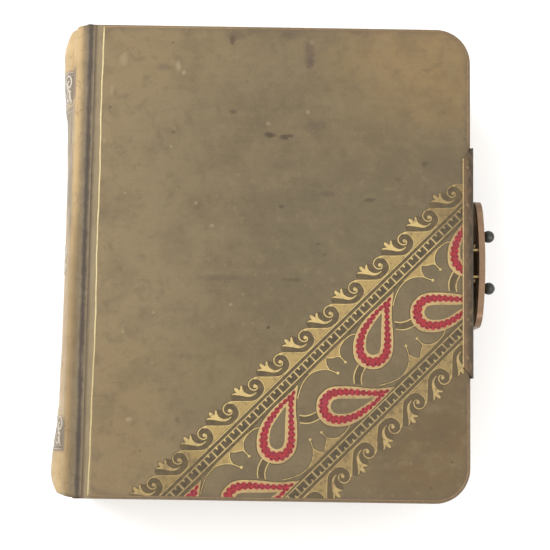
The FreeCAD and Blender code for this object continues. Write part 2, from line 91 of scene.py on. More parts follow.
class Mat:
    def __init__(self, name, tone=(1.0, 1.0, 1.0)):
        self.tone = tone
        self.m = bpy.data.materials.new(name)
        self.m.use_nodes = True
        self.t = self.m.node_tree
        self.t.nodes.clear()
        self.out = self.t.nodes.new("ShaderNodeOutputMaterial")
        self.b = self.t.nodes.new("ShaderNodeBsdfPrincipled")
        self.t.links.new(self.b.outputs[0], self.out.inputs[0])
        tc = self.t.nodes.new("ShaderNodeTexCoord")
        s = self.t.nodes.new("ShaderNodeVectorMath")
        s.operation = "SCALE"
        s.inputs["Scale"].default_value = 1000.0
        self.t.links.new(tc.outputs["Object"], s.inputs[0])
        self.p = s.outputs[0]
        sp = self.t.nodes.new("ShaderNodeSeparateXYZ")
        self.t.links.new(self.p, sp.inputs[0])
        self.x, self.y, self.z = sp.outputs
        g = self.t.nodes.new("ShaderNodeNewGeometry")
        self.nrm = g.outputs["Normal"]
        self.pointy = g.outputs["Pointiness"]

    def _in(self, sock, v):
        if v is None:
            return
        if hasattr(v, "is_linked"):
            self.t.links.new(v, sock)
        elif isinstance(v, (tuple, list)) and len(v) == 3 and sock.type == "RGBA":
            sock.default_value = (*v, 1.0)
        else:
            sock.default_value = v

    def math(self, op, a, b=None, c=None, clamp=False):
        n = self.t.nodes.new("ShaderNodeMath")
        n.operation = op
        n.use_clamp = clamp
        self._in(n.inputs[0], a)
        self._in(n.inputs[1], b)
        self._in(n.inputs[2], c)
        return n.outputs[0]

    def add(self, a, b): return self.math("ADD", a, b)
    def sub(self, a, b): return self.math("SUBTRACT", a, b)
    def mul(self, a, b): return self.math("MULTIPLY", a, b)
    def mx(self, a, b): return self.math("MAXIMUM", a, b)
    def mn(self, a, b): return self.math("MINIMUM", a, b)

    def rng(self, v, a, b, c=0.0, d=1.0, smooth=True):
        n = self.t.nodes.new("ShaderNodeMapRange")
        n.interpolation_type = "SMOOTHSTEP" if smooth else "LINEAR"
        for k, x in zip(("Value", "From Min", "From Max", "To Min", "To Max"), (v, a, b, c, d)):
            self._in(n.inputs[k], x)
        return n.outputs[0]

    def mix(self, f, a, b, mode="MIX"):
        n = self.t.nodes.new("ShaderNodeMix")
        n.data_type = "RGBA"
        n.blend_type = mode
        self._in(n.inputs[0], f)
        self._in(n.inputs[6], a)
        self._in(n.inputs[7], b)
        return n.outputs[2]

    def stretch(self, sx, sy, sz, vec=None):
        n = self.t.nodes.new("ShaderNodeVectorMath")
        n.operation = "MULTIPLY"
        self._in(n.inputs[0], vec or self.p)
        n.inputs[1].default_value = (sx, sy, sz)
        return n.outputs[0]

    def noise(self, scale, detail=3.0, rough=0.5, vec=None, dist=0.0):
        n = self.t.nodes.new("ShaderNodeTexNoise")
        self._in(n.inputs["Vector"], vec or self.p)
        n.inputs["Scale"].default_value = scale
        n.inputs["Detail"].default_value = detail
        n.inputs["Roughness"].default_value = rough
        n.inputs["Distortion"].default_value = dist
        return n.outputs["Fac"]

    def voro(self, scale, vec=None, feature="F1", rnd=1.0):
        n = self.t.nodes.new("ShaderNodeTexVoronoi")
        n.feature = feature
        self._in(n.inputs["Vector"], vec or self.p)
        n.inputs["Scale"].default_value = scale
        n.inputs["Randomness"].default_value = rnd
        return n.outputs["Distance"]

    def dist(self, c, sx=1.0, sy=1.0, sz=1.0, warp=None, amount=0.0):
        a = self.t.nodes.new("ShaderNodeVectorMath")
        a.operation = "SUBTRACT"
        self._in(a.inputs[0], self.p)
        a.inputs[1].default_value = c
        m = self.t.nodes.new("ShaderNodeVectorMath")
        m.operation = "MULTIPLY"
        self.t.links.new(a.outputs[0], m.inputs[0])
        m.inputs[1].default_value = (sx, sy, sz)
        l = self.t.nodes.new("ShaderNodeVectorMath")
        l.operation = "LENGTH"
        self.t.links.new(m.outputs[0], l.inputs[0])
        d = l.outputs["Value"]
        if warp is not None:
            d = self.add(d, self.mul(self.sub(warp, 0.5), amount))
        return d

    def bump(self, h, strength, depth, prev=None):
        n = self.t.nodes.new("ShaderNodeBump")
        n.inputs["Strength"].default_value = strength
        n.inputs["Distance"].default_value = depth / 1000.0
        self._in(n.inputs["Height"], h)
        if prev is not None:
            self.t.links.new(prev, n.inputs["Normal"])
        return n.outputs[0]

    def set(self, **k):
        names = {"color": "Base Color", "rough": "Roughness", "metal": "Metallic", "normal": "Normal", "spec": "Specular IOR Level",
                 "coat": "Coat Weight", "coat_rough": "Coat Roughness", "sheen": "Sheen Weight", "sheen_rough": "Sheen Roughness",
                 "aniso": "Anisotropic", "ior": "IOR"}
        if "color" in k and self.tone != (1.0, 1.0, 1.0):
            k["color"] = self.mix(1.0, k["color"], self.tone, "MULTIPLY")
        for a, v in k.items():
            self._in(self.b.inputs[names[a]], v)
        return self.m


def uvmm(u, v):
    """Place on the front cover in the material's own mm coordinates."""
    return (u - 60.0, v - 75.0)


# ------------------------------------------------------------------ cover leather
def leather_cover(name, z_face, front=True):
    m = Mat(name, LEATHER)
    big = m.noise(0.022, 4.0, 0.55)
    mid = m.noise(0.09, 5.0, 0.6)
    blot = m.noise(0.35, 4.0, 0.6)
    fine = m.noise(2.6, 4.0, 0.6)
    streak = m.noise(1.0, 4.0, 0.55, vec=m.stretch(0.045, 0.34, 0.05), dist=0.4)
    streak2 = m.noise(1.0, 4.0, 0.6, vec=m.stretch(0.12, 0.30, 0.2), dist=0.5)
    col = m.mix(m.rng(big, 0.33, 0.67), (0.250, 0.199, 0.122), (0.285, 0.226, 0.142))
    # lighter tan towards spine and head, olive field in the middle, warm corners
    gx = m.rng(m.x, -62.0, -6.0, 1.0, 0.0)
    gx = m.mul(gx, m.rng(mid, 0.2, 0.8, 0.75, 1.1, False))
    col = m.mix(m.mul(gx, 0.84), col, (0.470, 0.362, 0.220))
    gy = m.mul(m.rng(m.y, 25.0, 72.0), 0.16)
    col = m.mix(gy, col, (0.360, 0.270, 0.150))
    warp = m.noise(0.12, 4.0, 0.6)

    def patch(u, v, r0, r1, c, k, sx=1.0, sy=1.0, w=10.0):
        nonlocal col
        d = m.dist((u - 60.0, v - 75.0, z_face), sx, sy, 0.2, warp, w)
        col = m.mix(m.mul(m.rng(d, r0, r1, 1.0, 0.0), k), col, c)

    if front:
        patch(108, 142, 3, 36, (0.425, 0.295, 0.150), 0.80, 0.8, 1.0)
        patch(112, 128, 2, 14, (0.385, 0.262, 0.125), 0.45)
        patch(25, 142, 4, 30, (0.395, 0.300, 0.172), 0.50, 0.6, 1.4)
        patch(24, 95, 6, 34, (0.330, 0.262, 0.160), 0.35, 1.0, 0.6)
        patch(26, 54, 4, 34, (0.370, 0.290, 0.175), 0.28, 0.8, 0.8)
        patch(46, 40, 4, 24, (0.305, 0.236, 0.125), 0.40, 0.6, 1.1)
        patch(10, 14, 4, 30, (0.360, 0.262, 0.142), 0.55, 1.0, 0.6)
        patch(78, 85, 6, 34, (0.222, 0.186, 0.124), 0.55, 0.7, 1.0)
        patch(62, 62, 4, 20, (0.228, 0.187, 0.118), 0.45)
        patch(60, 118, 4, 26, (0.258, 0.205, 0.128), 0.4, 0.7)
        patch(84, 122, 4, 20, (0.270, 0.208, 0.118), 0.4)
        patch(106, 14, 4, 26, (0.228, 0.152, 0.074), 0.75, 0.8, 1.0)
        patch(117, 30, 2, 16, (0.210, 0.140, 0.070), 0.6, 1.0, 0.5)
        patch(86, 30, 10, 34, (0.212, 0.166, 0.098), 0.35)
        patch(112, 100, 2, 18, (0.200, 0.160, 0.110), 0.50, 1.2, 0.7)
    else:
        patch(30, 120, 6, 40, (0.340, 0.255, 0.145), 0.5)
        patch(96, 30, 6, 36, (0.215, 0.152, 0.080), 0.6)
        patch(70, 80, 6, 30, (0.225, 0.185, 0.120), 0.5)
        patch(7, 147, 1, 8, (0.175, 0.130, 0.120), 0.55, 0.5, 1.3, 5.0)
        patch(47, 149, 0.5, 5, (0.165, 0.120, 0.112), 0.5, 0.5, 1.4, 3.0)
        patch(119, 118, 1, 8, (0.150, 0.116, 0.095), 0.45, 1.5, 0.4, 5.0)
        patch(118, 36, 1, 7, (0.120, 0.090, 0.080), 0.5, 1.2, 0.5, 4.0)
    # soft blotches and faint lengthwise rubbing
    col = m.mix(m.mul(m.rng(mid, 0.42, 0.68), 0.38), col, (0.195, 0.156, 0.102))
    col = m.mix(m.mul(m.rng(mid, 0.30, 0.47, 1.0, 0.0), 0.32), col, (0.335, 0.268, 0.162))
    col = m.mix(m.mul(m.rng(streak, 0.50, 0.74), 0.15), col, (0.345, 0.270, 0.170))
    col = m.mix(m.mul(m.rng(streak, 0.26, 0.46, 1.0, 0.0), 0.13), col, (0.185, 0.142, 0.092))
    col = m.mix(m.mul(m.rng(streak2, 0.56, 0.76), 0.16), col, (0.345, 0.270, 0.165))
    col = m.mix(m.mul(m.rng(blot, 0.56, 0.76), 0.28), col, (0.170, 0.130, 0.092))
    mid2 = m.noise(0.20, 6.0, 0.68, dist=0.3)
    col = m.mix(m.mul(m.rng(mid2, 0.50, 0.68), 0.34), col, (0.185, 0.148, 0.098))
    col = m.mix(m.mul(m.rng(mid2, 0.32, 0.48, 1.0, 0.0), 0.34), col, (0.362, 0.288, 0.178))
    if front:
        w2 = m.noise(0.9, 4.0, 0.7)

        def spot(u, v, r, c, k, sx=1.0, sy=1.0):
            nonlocal col
            d = m.dist((u - 60.0, v - 75.0, z_face), sx, sy, 0.2, w2, r * 1.3)
            col = m.mix(m.mul(m.rng(d, r * 0.25, r, 1.0, 0.0), k), col, c)
        dark = (0.085, 0.064, 0.048)
        violet = (0.155, 0.115, 0.100)
        # darker marks, most of them scuffs along the leather
        for u, v, r, k, sx, sy in ((70.2, 141.5, 3.6, .55, 1.5, .55), (70.4, 138.0, 2.0, .6, 1.2, .8), (47, 147, 3.4, .45, .7, 1.4),
                                   (45.5, 145.2, 1.6, .6, 1.2, .7), (63.5, 147.2, 2.6, .4, .5, 1.3), (57.8, 114.6, 1.7, .75, .6, 1.3),
                                   (62.6, 113.9, 1.5, .7, .7, 1.2), (64.6, 114.4, 1.0, .6, .7, 1.2), (46.2, 121.9, 1.3, .5, .7, 1.2),
                                   (72.6, 117.0, 3.4, .35, .8, 1.0), (76.5, 96.0, 2.2, .5, .55, 1.5), (89.5, 94.2, 1.5, .55, .6, 1.4),
                                   (62.0, 91.8, 1.1, .5, .8, 1.2), (58.4, 53.6, .8, .75, 1, 1), (66, 68.6, 1.6, .35, .35, 1.6),
                                   (44, 68.8, 3.2, .3, .25, 2.0), (24, 136.2, 2.2, .35, .6, 1.2), (47.8, 17.9, .7, .6, 1, 1),
                                   (74, 54, 2.0, .3, .7, 1.2), (27.3, 115, .8, .45, .8, 1), (107, 106, 1.4, .45, 1, 1), (98.5, 101, 1.2, .3, .7, 1.2),
                                   (96, 79, 1.6, .3, .5, 1.4), (33, 44, 2.2, .25, .5, 1.4), (30.8, 24.4, 1.3, .35, 1, 1)):
            spot(u, v, r, dark if r < 1.8 else violet, k, sx, sy)
        for u, v, r, k, sx, sy in ((28.5, 136.4, 1.5, .55, 1.3, .7), (30.2, 134.4, .9, .6, 1.2, .8), (11, 138.6, 2.4, .4, 1.2, .8),
                                   (15.6, 24.5, 1.2, .6, .9, 1.1), (35.0, 92.6, .8, .5, 1, 1), (40.2, 85.4, .8, .45, 1, 1),
                                   (69.8, 122.2, 1.0, .45, 1, 1), (57.4, 118.2, 1.0, .4, .8, 1.1), (70.8, 145, 1.2, .3, 1, 1), (12.6, 95.4, .6, .5, 1, 1),
                                   (26.8, 110.5, .6, .45, 1, 1), (46.6, 60.6, .7, .5, 1, 1), (22.5, 57.8, .6, .45, 1, 1), (7.5, 128.5, 1.2, .4, 1.4, .6),
                                   (13.1, 51.6, .7, .45, 1.2, .8), (5.6, 112, .9, .35, 1.4, .6)):
            spot(u, v, r, (0.545, 0.450, 0.300), k, sx, sy)
    thin = m.noise(1.0, 3.0, 0.5, vec=m.stretch(0.06, 1.9, 0.06))
    gate = m.rng(m.noise(0.045, 3.0, 0.6), 0.50, 0.62)
    col = m.mix(m.mul(m.mul(m.rng(thin, 0.66, 0.74), gate), 0.26), col, (0.430, 0.345, 0.225))
    col = m.mix(m.mul(m.mul(m.rng(thin, 0.30, 0.35, 1.0, 0.0), m.rng(m.noise(0.04, 3.0, 0.6), 0.52, 0.64)), 0.34), col, (0.130, 0.098, 0.075))
    # pin-prick scuffs and grain dirt
    pin = m.voro(0.22)
    pinmask = m.mul(m.rng(pin, 0.05, 0.14, 1.0, 0.0), m.rng(m.noise(0.05), 0.52, 0.62))
    col = m.mix(m.mul(pinmask, 0.45), col, (0.420, 0.335, 0.210))
    pin2 = m.voro(0.17, vec=m.stretch(1.0, 1.3, 1.0))
    col = m.mix(m.mul(m.mul(m.rng(pin2, 0.04, 0.12, 1.0, 0.0), m.rng(m.noise(0.06, 2.0), 0.55, 0.65)), 0.55), col, (0.10, 0.078, 0.056))
    col = m.mix(m.mul(m.rng(fine, 0.42, 0.70), 0.16), col, (0.150, 0.115, 0.075))
    # rim of the board: a darker band inside its rounded outline and a painted highlight along the edge itself; distance
    # to the board's rounded outline
    ax = m.math("ABSOLUTE", m.sub(m.x, 0.75))
    ay = m.math("ABSOLUTE", m.y)
    qx = m.mx(m.sub(ax, UE / 2.0 - 11.0), 0.0)
    qy = m.mx(m.sub(ay, 75.0 - 11.0), 0.0)
    rr = m.math("SQRT", m.add(m.mul(qx, qx), m.mul(qy, qy)))
    inset = m.sub(11.0, rr)
    near_edge = m.mn(inset, m.add(m.rng(m.x, -54.0, -60.0, 0.0, 30.0), 60.0))
    edge_n = m.add(near_edge, m.mul(m.sub(m.noise(0.25, 5.0, 0.65), 0.5), 5.0))
    col = m.mix(m.rng(edge_n, 0.2, 3.0, 0.42, 0.0), col, (0.175, 0.128, 0.112))
    # painted highlight along the board's rounded edge
    col = m.mix(m.rng(m.add(near_edge, m.mul(m.sub(m.noise(0.5, 4.0, 0.7), 0.5), 2.4)), 0.1, 1.1, 0.60, 0.0), col, (0.400, 0.285, 0.170))
    if not front:
        low_face = m.rng(m.z, 0.25, 0.45, 1.0, 0.0)
        gl = m.mx(m.rng(m.math("ABSOLUTE", m.add(m.x, 55.6)), 0.16, 0.28, 1.0, 0.0),
                  m.mul(m.rng(m.math("ABSOLUTE", m.sub(near_edge, 0.95)), 0.10, 0.20, 1.0, 0.0), m.rng(m.x, -55.8, -55.4)))
        gl = m.mul(gl, m.rng(m.noise(0.5, 4.0, 0.65), 0.60, 0.70, 1.0, 0.35))
        col = m.mix(m.mul(gl, low_face), col, (0.90, 0.70, 0.36))
    # groove beside the spine: painted shade in the valley, a painted highlight on the slope up to the line
    gdist = m.math("ABSOLUTE", m.sub(m.x, -59.7))
    gn = m.mul(m.sub(m.noise(0.3, 4.0, 0.6), 0.5), 0.9)
    col = m.mix(m.mul(m.rng(m.add(gdist, gn), 1.2, 3.2, 1.0, 0.0), 0.70), col, (0.165, 0.140, 0.112))
    col = m.mix(m.mul(m.rng(m.add(gdist, gn), 0.25, 1.15, 1.0, 0.0), 0.80), col, (0.070, 0.058, 0.056))
    # painted highlight on the slope that rises from the groove to the gilt line
    lit_slope = m.mul(m.rng(m.x, -58.0, -57.1), m.rng(m.x, -55.9, -55.2, 1.0, 0.0))
    col = m.mix(m.mul(lit_slope, m.rng(m.noise(0.35, 4.0, 0.6, vec=m.stretch(1, 0.3, 1)), 0.3, 0.65, 0.35, 0.85)), col, (0.455, 0.372, 0.250))
    # the normal is split into its parts, but nothing uses them, so the sides and turn-ins are not darkened; grain and
    # fibre bumps follow
    sep = m.t.nodes.new("ShaderNodeSeparateXYZ")
    m.t.links.new(m.nrm, sep.inputs[0])
    grain = m.voro(1.7, feature="DISTANCE_TO_EDGE", vec=m.stretch(1.0, 1.25, 1.0))
    fiber = m.noise(1.0, 5.0, 0.7, vec=m.stretch(1.6, 2.4, 1.8))
    b = m.bump(m.rng(grain, 0.0, 0.22), 0.16, 0.06)
    b = m.bump(fiber, 0.20, 0.08, b)
    b = m.bump(m.noise(0.16, 4.0, 0.55), 0.45, 0.30, b)
    b = m.bump(fine, 0.22, 0.05, b)
    rough = m.rng(m.add(m.mul(mid, 0.5), m.mul(fine, 0.5)), 0.3, 0.7, 0.50, 0.72)
    return m.set(color=col, rough=rough, normal=b, spec=0.16, sheen=0.03, sheen_rough=0.5)


def spine_leather_mat():
    m = Mat("spine_leather", LEATHER)
    ya = m.math("ABSOLUTE", m.y)
    mid = m.noise(0.12, 5.0, 0.6)
    long = m.noise(1.0, 5.0, 0.62, vec=m.stretch(0.55, 0.06, 0.3))
    fine = m.noise(2.4, 4.0, 0.6)
    col = m.mix(m.rng(mid, 0.3, 0.7), (0.520, 0.395, 0.225), (0.415, 0.308, 0.176))
    # grey-violet sunken panel in the middle of the spine
    panel = m.mul(m.rng(ya, 48.0, 51.0, 1.0, 0.0), m.rng(m.x, -63.4, -64.8))
    pcol = m.mix(m.rng(m.noise(0.10, 4.0, 0.6, vec=m.stretch(1, 0.5, 1)), 0.35, 0.65), (0.360, 0.310, 0.245), (0.200, 0.188, 0.176))
    pcol = m.mix(m.mul(m.rng(m.add(m.y, m.mul(m.sub(mid, 0.5), 40.0)), 22.0, -8.0, 0.0, 1.0), 0.85), pcol, (0.470, 0.365, 0.250))
    col = m.mix(m.mul(panel, 0.82), col, pcol)
    # painted highlight along the ridge of the shoulder
    ridge_highlight = m.mul(m.rng(m.math("ABSOLUTE", m.sub(m.x, -63.1)), 0.2, 1.5, 1.0, 0.0), m.rng(long, 0.34, 0.66, 0.25, 1.0))
    col = m.mix(m.mul(ridge_highlight, 0.75), col, (0.560, 0.400, 0.215))
    band = m.mul(m.rng(ya, 49.0, 51.5), m.rng(ya, 61.5, 60.0, 0.0, 1.0))
    col = m.mix(m.mul(m.mul(band, m.rng(m.x, -63.6, -64.6)), 0.85), col, (0.175, 0.150, 0.135))
    # painted shade towards the joint and along the groove
    gr = m.add(m.math("ABSOLUTE", m.sub(m.x, -59.7)), m.mul(m.sub(m.noise(0.3, 4.0, 0.6), 0.5), 1.3))
    col = m.mix(m.mul(m.rng(gr, 1.1, 2.9, 1.0, 0.0), 0.60), col, (0.215, 0.182, 0.148))
    col = m.mix(m.mul(m.rng(gr, 0.15, 1.25, 1.0, 0.0), 0.80), col, (0.070, 0.058, 0.056))
    col = m.mix(m.mul(m.rng(long, 0.55, 0.78), 0.34), col, (0.235, 0.172, 0.112))
    col = m.mix(m.mul(m.rng(long, 0.22, 0.42, 1.0, 0.0), 0.24), col, (0.640, 0.505, 0.320))
    crack = m.voro(0.55, feature="DISTANCE_TO_EDGE", vec=m.stretch(1.0, 0.35, 1.0))
    cm = m.mul(m.rng(crack, 0.0, 0.05, 1.0, 0.0), m.rng(m.noise(0.2), 0.48, 0.62))
    col = m.mix(m.mul(cm, 0.45), col, (0.175, 0.125, 0.082))
    col = m.mix(m.rng(m.add(m.sub(75.0, ya), m.mul(m.sub(mid, 0.5), 3.0)), 0.0, 2.0, 0.5, 0.0), col, (0.22, 0.16, 0.10))
    # painted light: the colour is brightened on the spine's outer curve and towards the head, less near the groove
    outer = m.rng(m.x, -62.2, -66.0, 0.0, 1.0)
    light_gain = m.add(m.rng(m.y, -14.0, 34.0, 0.76, 1.46), m.mul(outer, m.rng(m.y, -14.0, 34.0, 0.98, 0.42)))
    light_gain = m.mn(light_gain, 1.95)
    away = m.rng(gr, 0.8, 3.0)
    light_gain = m.add(m.mul(light_gain, away), m.sub(1.0, away))
    grey = m.t.nodes.new("ShaderNodeCombineXYZ")
    for i_ in range(3):
        m.t.links.new(light_gain, grey.inputs[i_])
    col = m.mix(1.0, col, grey.outputs[0], "MULTIPLY")
    b = m.bump(m.rng(crack, 0.0, 0.06), 0.25, 0.10)
    b = m.bump(long, 0.30, 0.16, b)
    b = m.bump(fine, 0.25, 0.05, b)
    return m.set(color=col, rough=m.rng(mid, 0.3, 0.7, 0.42, 0.62), normal=b, spec=0.22)


def gold_mat(name, bright, dull, deep, line=False):
    """Old gilt: warm, low-gloss metal leaf that has worn to brown towards the ends and the lower border."""
    m = Mat(name, LEATHER)
    s = m.mul(m.sub(m.y, m.x), 0.7071)
    t = m.mul(m.add(m.x, m.y), 0.7071)
    wear = m.noise(0.5, 5.0, 0.65)
    spk = m.noise(2.2, 4.0, 0.7)
    low = m.rng(s, -40.0, -52.0)          # the lower border is browner
    end1 = m.rng(t, -52.0, -64.0)         # and so are both ends of the band
    end2 = m.rng(t, 36.0, 50.0)
    f = m.mx(m.mul(low, 0.50), m.mx(m.mul(end1, 0.60), m.mul(end2, 0.75)))
    f = m.math("ADD", f, m.mul(m.rng(wear, 0.46, 0.68), 0.60), clamp=True)
    col = m.mix(f, bright, dull)
    col = m.mix(m.mul(m.rng(spk, 0.58, 0.78), 0.40), col, deep)
    b = m.bump(spk, 0.30, 0.03)
    b = m.bump(wear, 0.2, 0.08, b)
    return m.set(color=col, metal=0.22, rough=m.rng(wear, 0.3, 0.7, 0.36, 0.55), normal=b, spec=0.5)


def simple(name, c1, c2, scale=0.8, rough=(0.5, 0.7), metal=0.0, bump=0.1, spec=0.4, stretch=None, extra=None):
    m = Mat(name, METAL if metal > 0.5 else PAPER)
    v = m.stretch(*stretch) if stretch else None
    n = m.noise(scale, 5.0, 0.6, vec=v)
    n2 = m.noise(scale * 5, 3.0, 0.6, vec=v)
    col = m.mix(m.rng(n, 0.34, 0.66), c1, c2)
    col = m.mix(m.mul(m.rng(n2, 0.55, 0.8), 0.3), col, tuple(x * 0.55 for x in c2))
    if extra:
        col = extra(m, col, n, n2)
    b = m.bump(n2, 0.3, bump)
    return m.set(color=col, rough=m.rng(n, 0.3, 0.7, *rough), metal=metal, normal=b, spec=spec)


def plate_mat(front=True):
    m = Mat("plate_brass" if front else "back_plate_brass", METAL)
    n = m.noise(0.35, 5.0, 0.6, vec=m.stretch(2.5, 1.0, 1.0))
    n2 = m.noise(1.6, 5.0, 0.65)
    brush = m.noise(1.0, 3.0, 0.6, vec=m.stretch(6.0, 0.25, 6.0))
    col = m.mix(m.rng(m.x, 59.4, 61.8), (0.175, 0.112, 0.062), (0.075, 0.058, 0.040))
    col = m.mix(m.mul(m.rng(n, 0.45, 0.75), 0.6), col, (0.265, 0.165, 0.088))
    col = m.mix(m.mul(m.rng(n2, 0.55, 0.75), 0.5), col, (0.045, 0.045, 0.036))
    # painted highlight along the plate's inner edge on the cover face
    edge = m.mul(m.rng(m.x, 59.35, 59.05, 0.0, 1.0), m.rng(n2, 0.3, 0.65, 0.5, 1.0))
    col = m.mix(edge, col, (0.640, 0.480, 0.240))
    col = m.mix(m.mul(m.rng(m.x, 61.9, 62.28), 0.65), col, (0.120, 0.110, 0.085))
    b = m.bump(n2, 0.35, 0.05)
    b = m.bump(brush, 0.2, 0.04, b)
    return m.set(color=col, metal=0.75, rough=m.rng(n, 0.3, 0.7, 0.34, 0.52), normal=b)


def hasp_mat():
    m = Mat("hasp_brass", METAL)
    n = m.noise(0.30, 5.0, 0.6)
    n2 = m.noise(1.8, 5.0, 0.65)
    brush = m.noise(1.0, 3.0, 0.6, vec=m.stretch(5.0, 0.3, 5.0))
    col = m.mix(m.rng(n, 0.30, 0.70), (0.290, 0.180, 0.112), (0.210, 0.126, 0.076))
    col = m.mix(m.mul(m.rng(n2, 0.52, 0.75), 0.32), col, (0.110, 0.070, 0.045))
    # painted highlight on the hasp's convex edges, found by pointiness
    col = m.mix(m.mul(m.rng(m.pointy, 0.56, 0.68), 0.18), col, (0.400, 0.270, 0.150))
    col = m.mix(m.mul(m.rng(n2, 0.25, 0.45, 1.0, 0.0), 0.35), col, (0.460, 0.300, 0.180))
    b = m.bump(n2, 0.3, 0.05)
    b = m.bump(brush, 0.25, 0.04, b)
    return m.set(color=col, metal=0.8, rough=m.rng(n, 0.3, 0.7, 0.30, 0.48), normal=b)


def page_mat(name="page_paper"):
    """Toned paper; page faces carry a thin red rule and broken grey lines, edges are gilt."""
    m = Mat(name, PAPER)
    n = m.noise(0.05, 5.0, 0.6)
    fib = m.noise(3.0, 4.0, 0.7, vec=m.stretch(1, 1, 0.2))
    col = m.mix(m.rng(n, 0.3, 0.7), (0.745, 0.655, 0.480), (0.680, 0.575, 0.395))
    col = m.mix(m.mul(m.rng(fib, 0.45, 0.75), 0.16), col, (0.55, 0.44, 0.28))
    ax = m.math("ABSOLUTE", m.add(m.x, -1.0))
    ay = m.math("ABSOLUTE", m.y)
    d = m.mx(m.sub(ax, 45.0), m.sub(ay, 58.0))
    line = m.rng(m.math("ABSOLUTE", d), 0.12, 0.26, 1.0, 0.0)
    line2 = m.rng(m.math("ABSOLUTE", m.add(d, 1.4)), 0.05, 0.15, 1.0, 0.0)
    sep = m.t.nodes.new("ShaderNodeSeparateXYZ")
    g = m.t.nodes.new("ShaderNodeNewGeometry")
    m.t.links.new(g.outputs["Normal"], sep.inputs[0])
    sepb = m.t.nodes.new("ShaderNodeSeparateXYZ")
    tc = m.t.nodes.new("ShaderNodeTexCoord")
    m.t.links.new(tc.outputs["Normal"], sepb.inputs[0])
    flat = m.rng(m.math("ABSOLUTE", sepb.outputs[2]), 0.6, 0.75)
    row = m.math("FRACT", m.mul(m.add(m.y, 200.0), 1.0 / 5.2))
    rowm = m.rng(m.math("ABSOLUTE", m.sub(row, 0.5)), 0.08, 0.14, 1.0, 0.0)
    word = m.noise(1.0, 2.0, 0.5, vec=m.stretch(0.55, 3.9, 0.0))
    body = m.mul(m.mul(rowm, m.rng(word, 0.40, 0.46)), m.rng(d, -5.5, -4.5, 1.0, 0.0))
    col = m.mix(m.mul(m.mul(body, flat), 0.55), col, (0.21, 0.17, 0.14))
    col = m.mix(m.mul(m.mul(m.mx(line, m.mul(line2, 0.7)), flat), 0.8), col, (0.42, 0.06, 0.045))
    wearg = m.noise(0.25, 5.0, 0.65)
    gilt = m.mix(m.rng(wearg, 0.30, 0.75), (0.660, 0.470, 0.190), (0.540, 0.375, 0.165))
    gilt = m.mix(m.mul(m.rng(m.noise(0.9, 4.0, 0.7, vec=m.stretch(0.3, 0.3, 6)), 0.55, 0.72), 0.5), gilt, (0.560, 0.450, 0.290))
    edge = m.sub(1.0, flat)
    col = m.mix(edge, col, gilt)
    b = m.bump(fib, 0.25, 0.03)
    return m.set(color=col, metal=m.mul(edge, 0.55), rough=m.rng(edge, 0.0, 1.0, 0.75, 0.42, False), normal=b, spec=0.35)


MAT = {
    "front": leather_cover("front_leather", 42.0, True),
    "back": leather_cover("back_leather", 0.0, False),
    "spine": spine_leather_mat(),
    "gold": gold_mat("gilt_bright", (0.900, 0.690, 0.300), (0.380, 0.265, 0.115), (0.260, 0.175, 0.080)),
    "goldfill": gold_mat("gilt_fill", (0.600, 0.430, 0.165), (0.285, 0.200, 0.088), (0.235, 0.160, 0.070)),
    "peach": gold_mat("gilt_peach", (0.760, 0.520, 0.250), (0.480, 0.300, 0.150), (0.380, 0.150, 0.095)),
    "rimline": gold_mat("gilt_rim", (0.520, 0.360, 0.185), (0.330, 0.220, 0.120), (0.230, 0.150, 0.080)),
    "line": gold_mat("gilt_line", (1.0, 0.86, 0.50), (0.86, 0.68, 0.36), (0.60, 0.44, 0.22)),
    "plate": plate_mat(True),
    "hasp": hasp_mat(),
    "page": page_mat(),
}


# painted shade in and around the tooled impressions, laid under the gilt
def ink_mat():
    m = Mat("painted_tool_shade", LEATHER)
    n = m.noise(0.6, 5.0, 0.6)
    s = m.mul(m.sub(m.y, m.x), 0.7071)
    low = m.rng(s, -40.0, -52.0)
    col = m.mix(m.rng(n, 0.35, 0.65), (0.185, 0.134, 0.066), (0.128, 0.094, 0.048))
    col = m.mix(m.mul(low, 0.65), col, (0.165, 0.118, 0.060))
    return m.set(color=col, rough=0.62, spec=0.3, normal=m.bump(m.noise(2.4, 4, 0.6), 0.3, 0.05))


def cell_mat():
    m = Mat("impressed_cell", LEATHER)
    n = m.noise(0.8, 5.0, 0.6)
    col = m.mix(m.rng(n, 0.35, 0.65), (0.150, 0.112, 0.060), (0.095, 0.072, 0.040))
    return m.set(color=col, rough=0.6, spec=0.3, normal=m.bump(m.noise(2.4, 4, 0.6), 0.3, 0.05))


def crimson_mat():
    m = Mat("crimson", LEATHER)
    n = m.noise(0.9, 5.0, 0.65)
    n2 = m.noise(0.28, 4.0, 0.6)
    n3 = m.noise(3.0, 4.0, 0.6)
    col = m.mix(m.rng(n, 0.35, 0.65), (0.540, 0.034, 0.050), (0.330, 0.020, 0.028))
    col = m.mix(m.mul(m.rng(n2, 0.50, 0.70), 0.55), col, (0.440, 0.050, 0.110))
    col = m.mix(m.mul(m.rng(n, 0.62, 0.80), 0.55), col, (0.560, 0.170, 0.150))
    col = m.mix(m.mul(m.rng(n3, 0.58, 0.75), 0.35), col, (0.190, 0.018, 0.024))
    return m.set(color=col, rough=0.52, spec=0.35, normal=m.bump(n3, 0.3, 0.05))


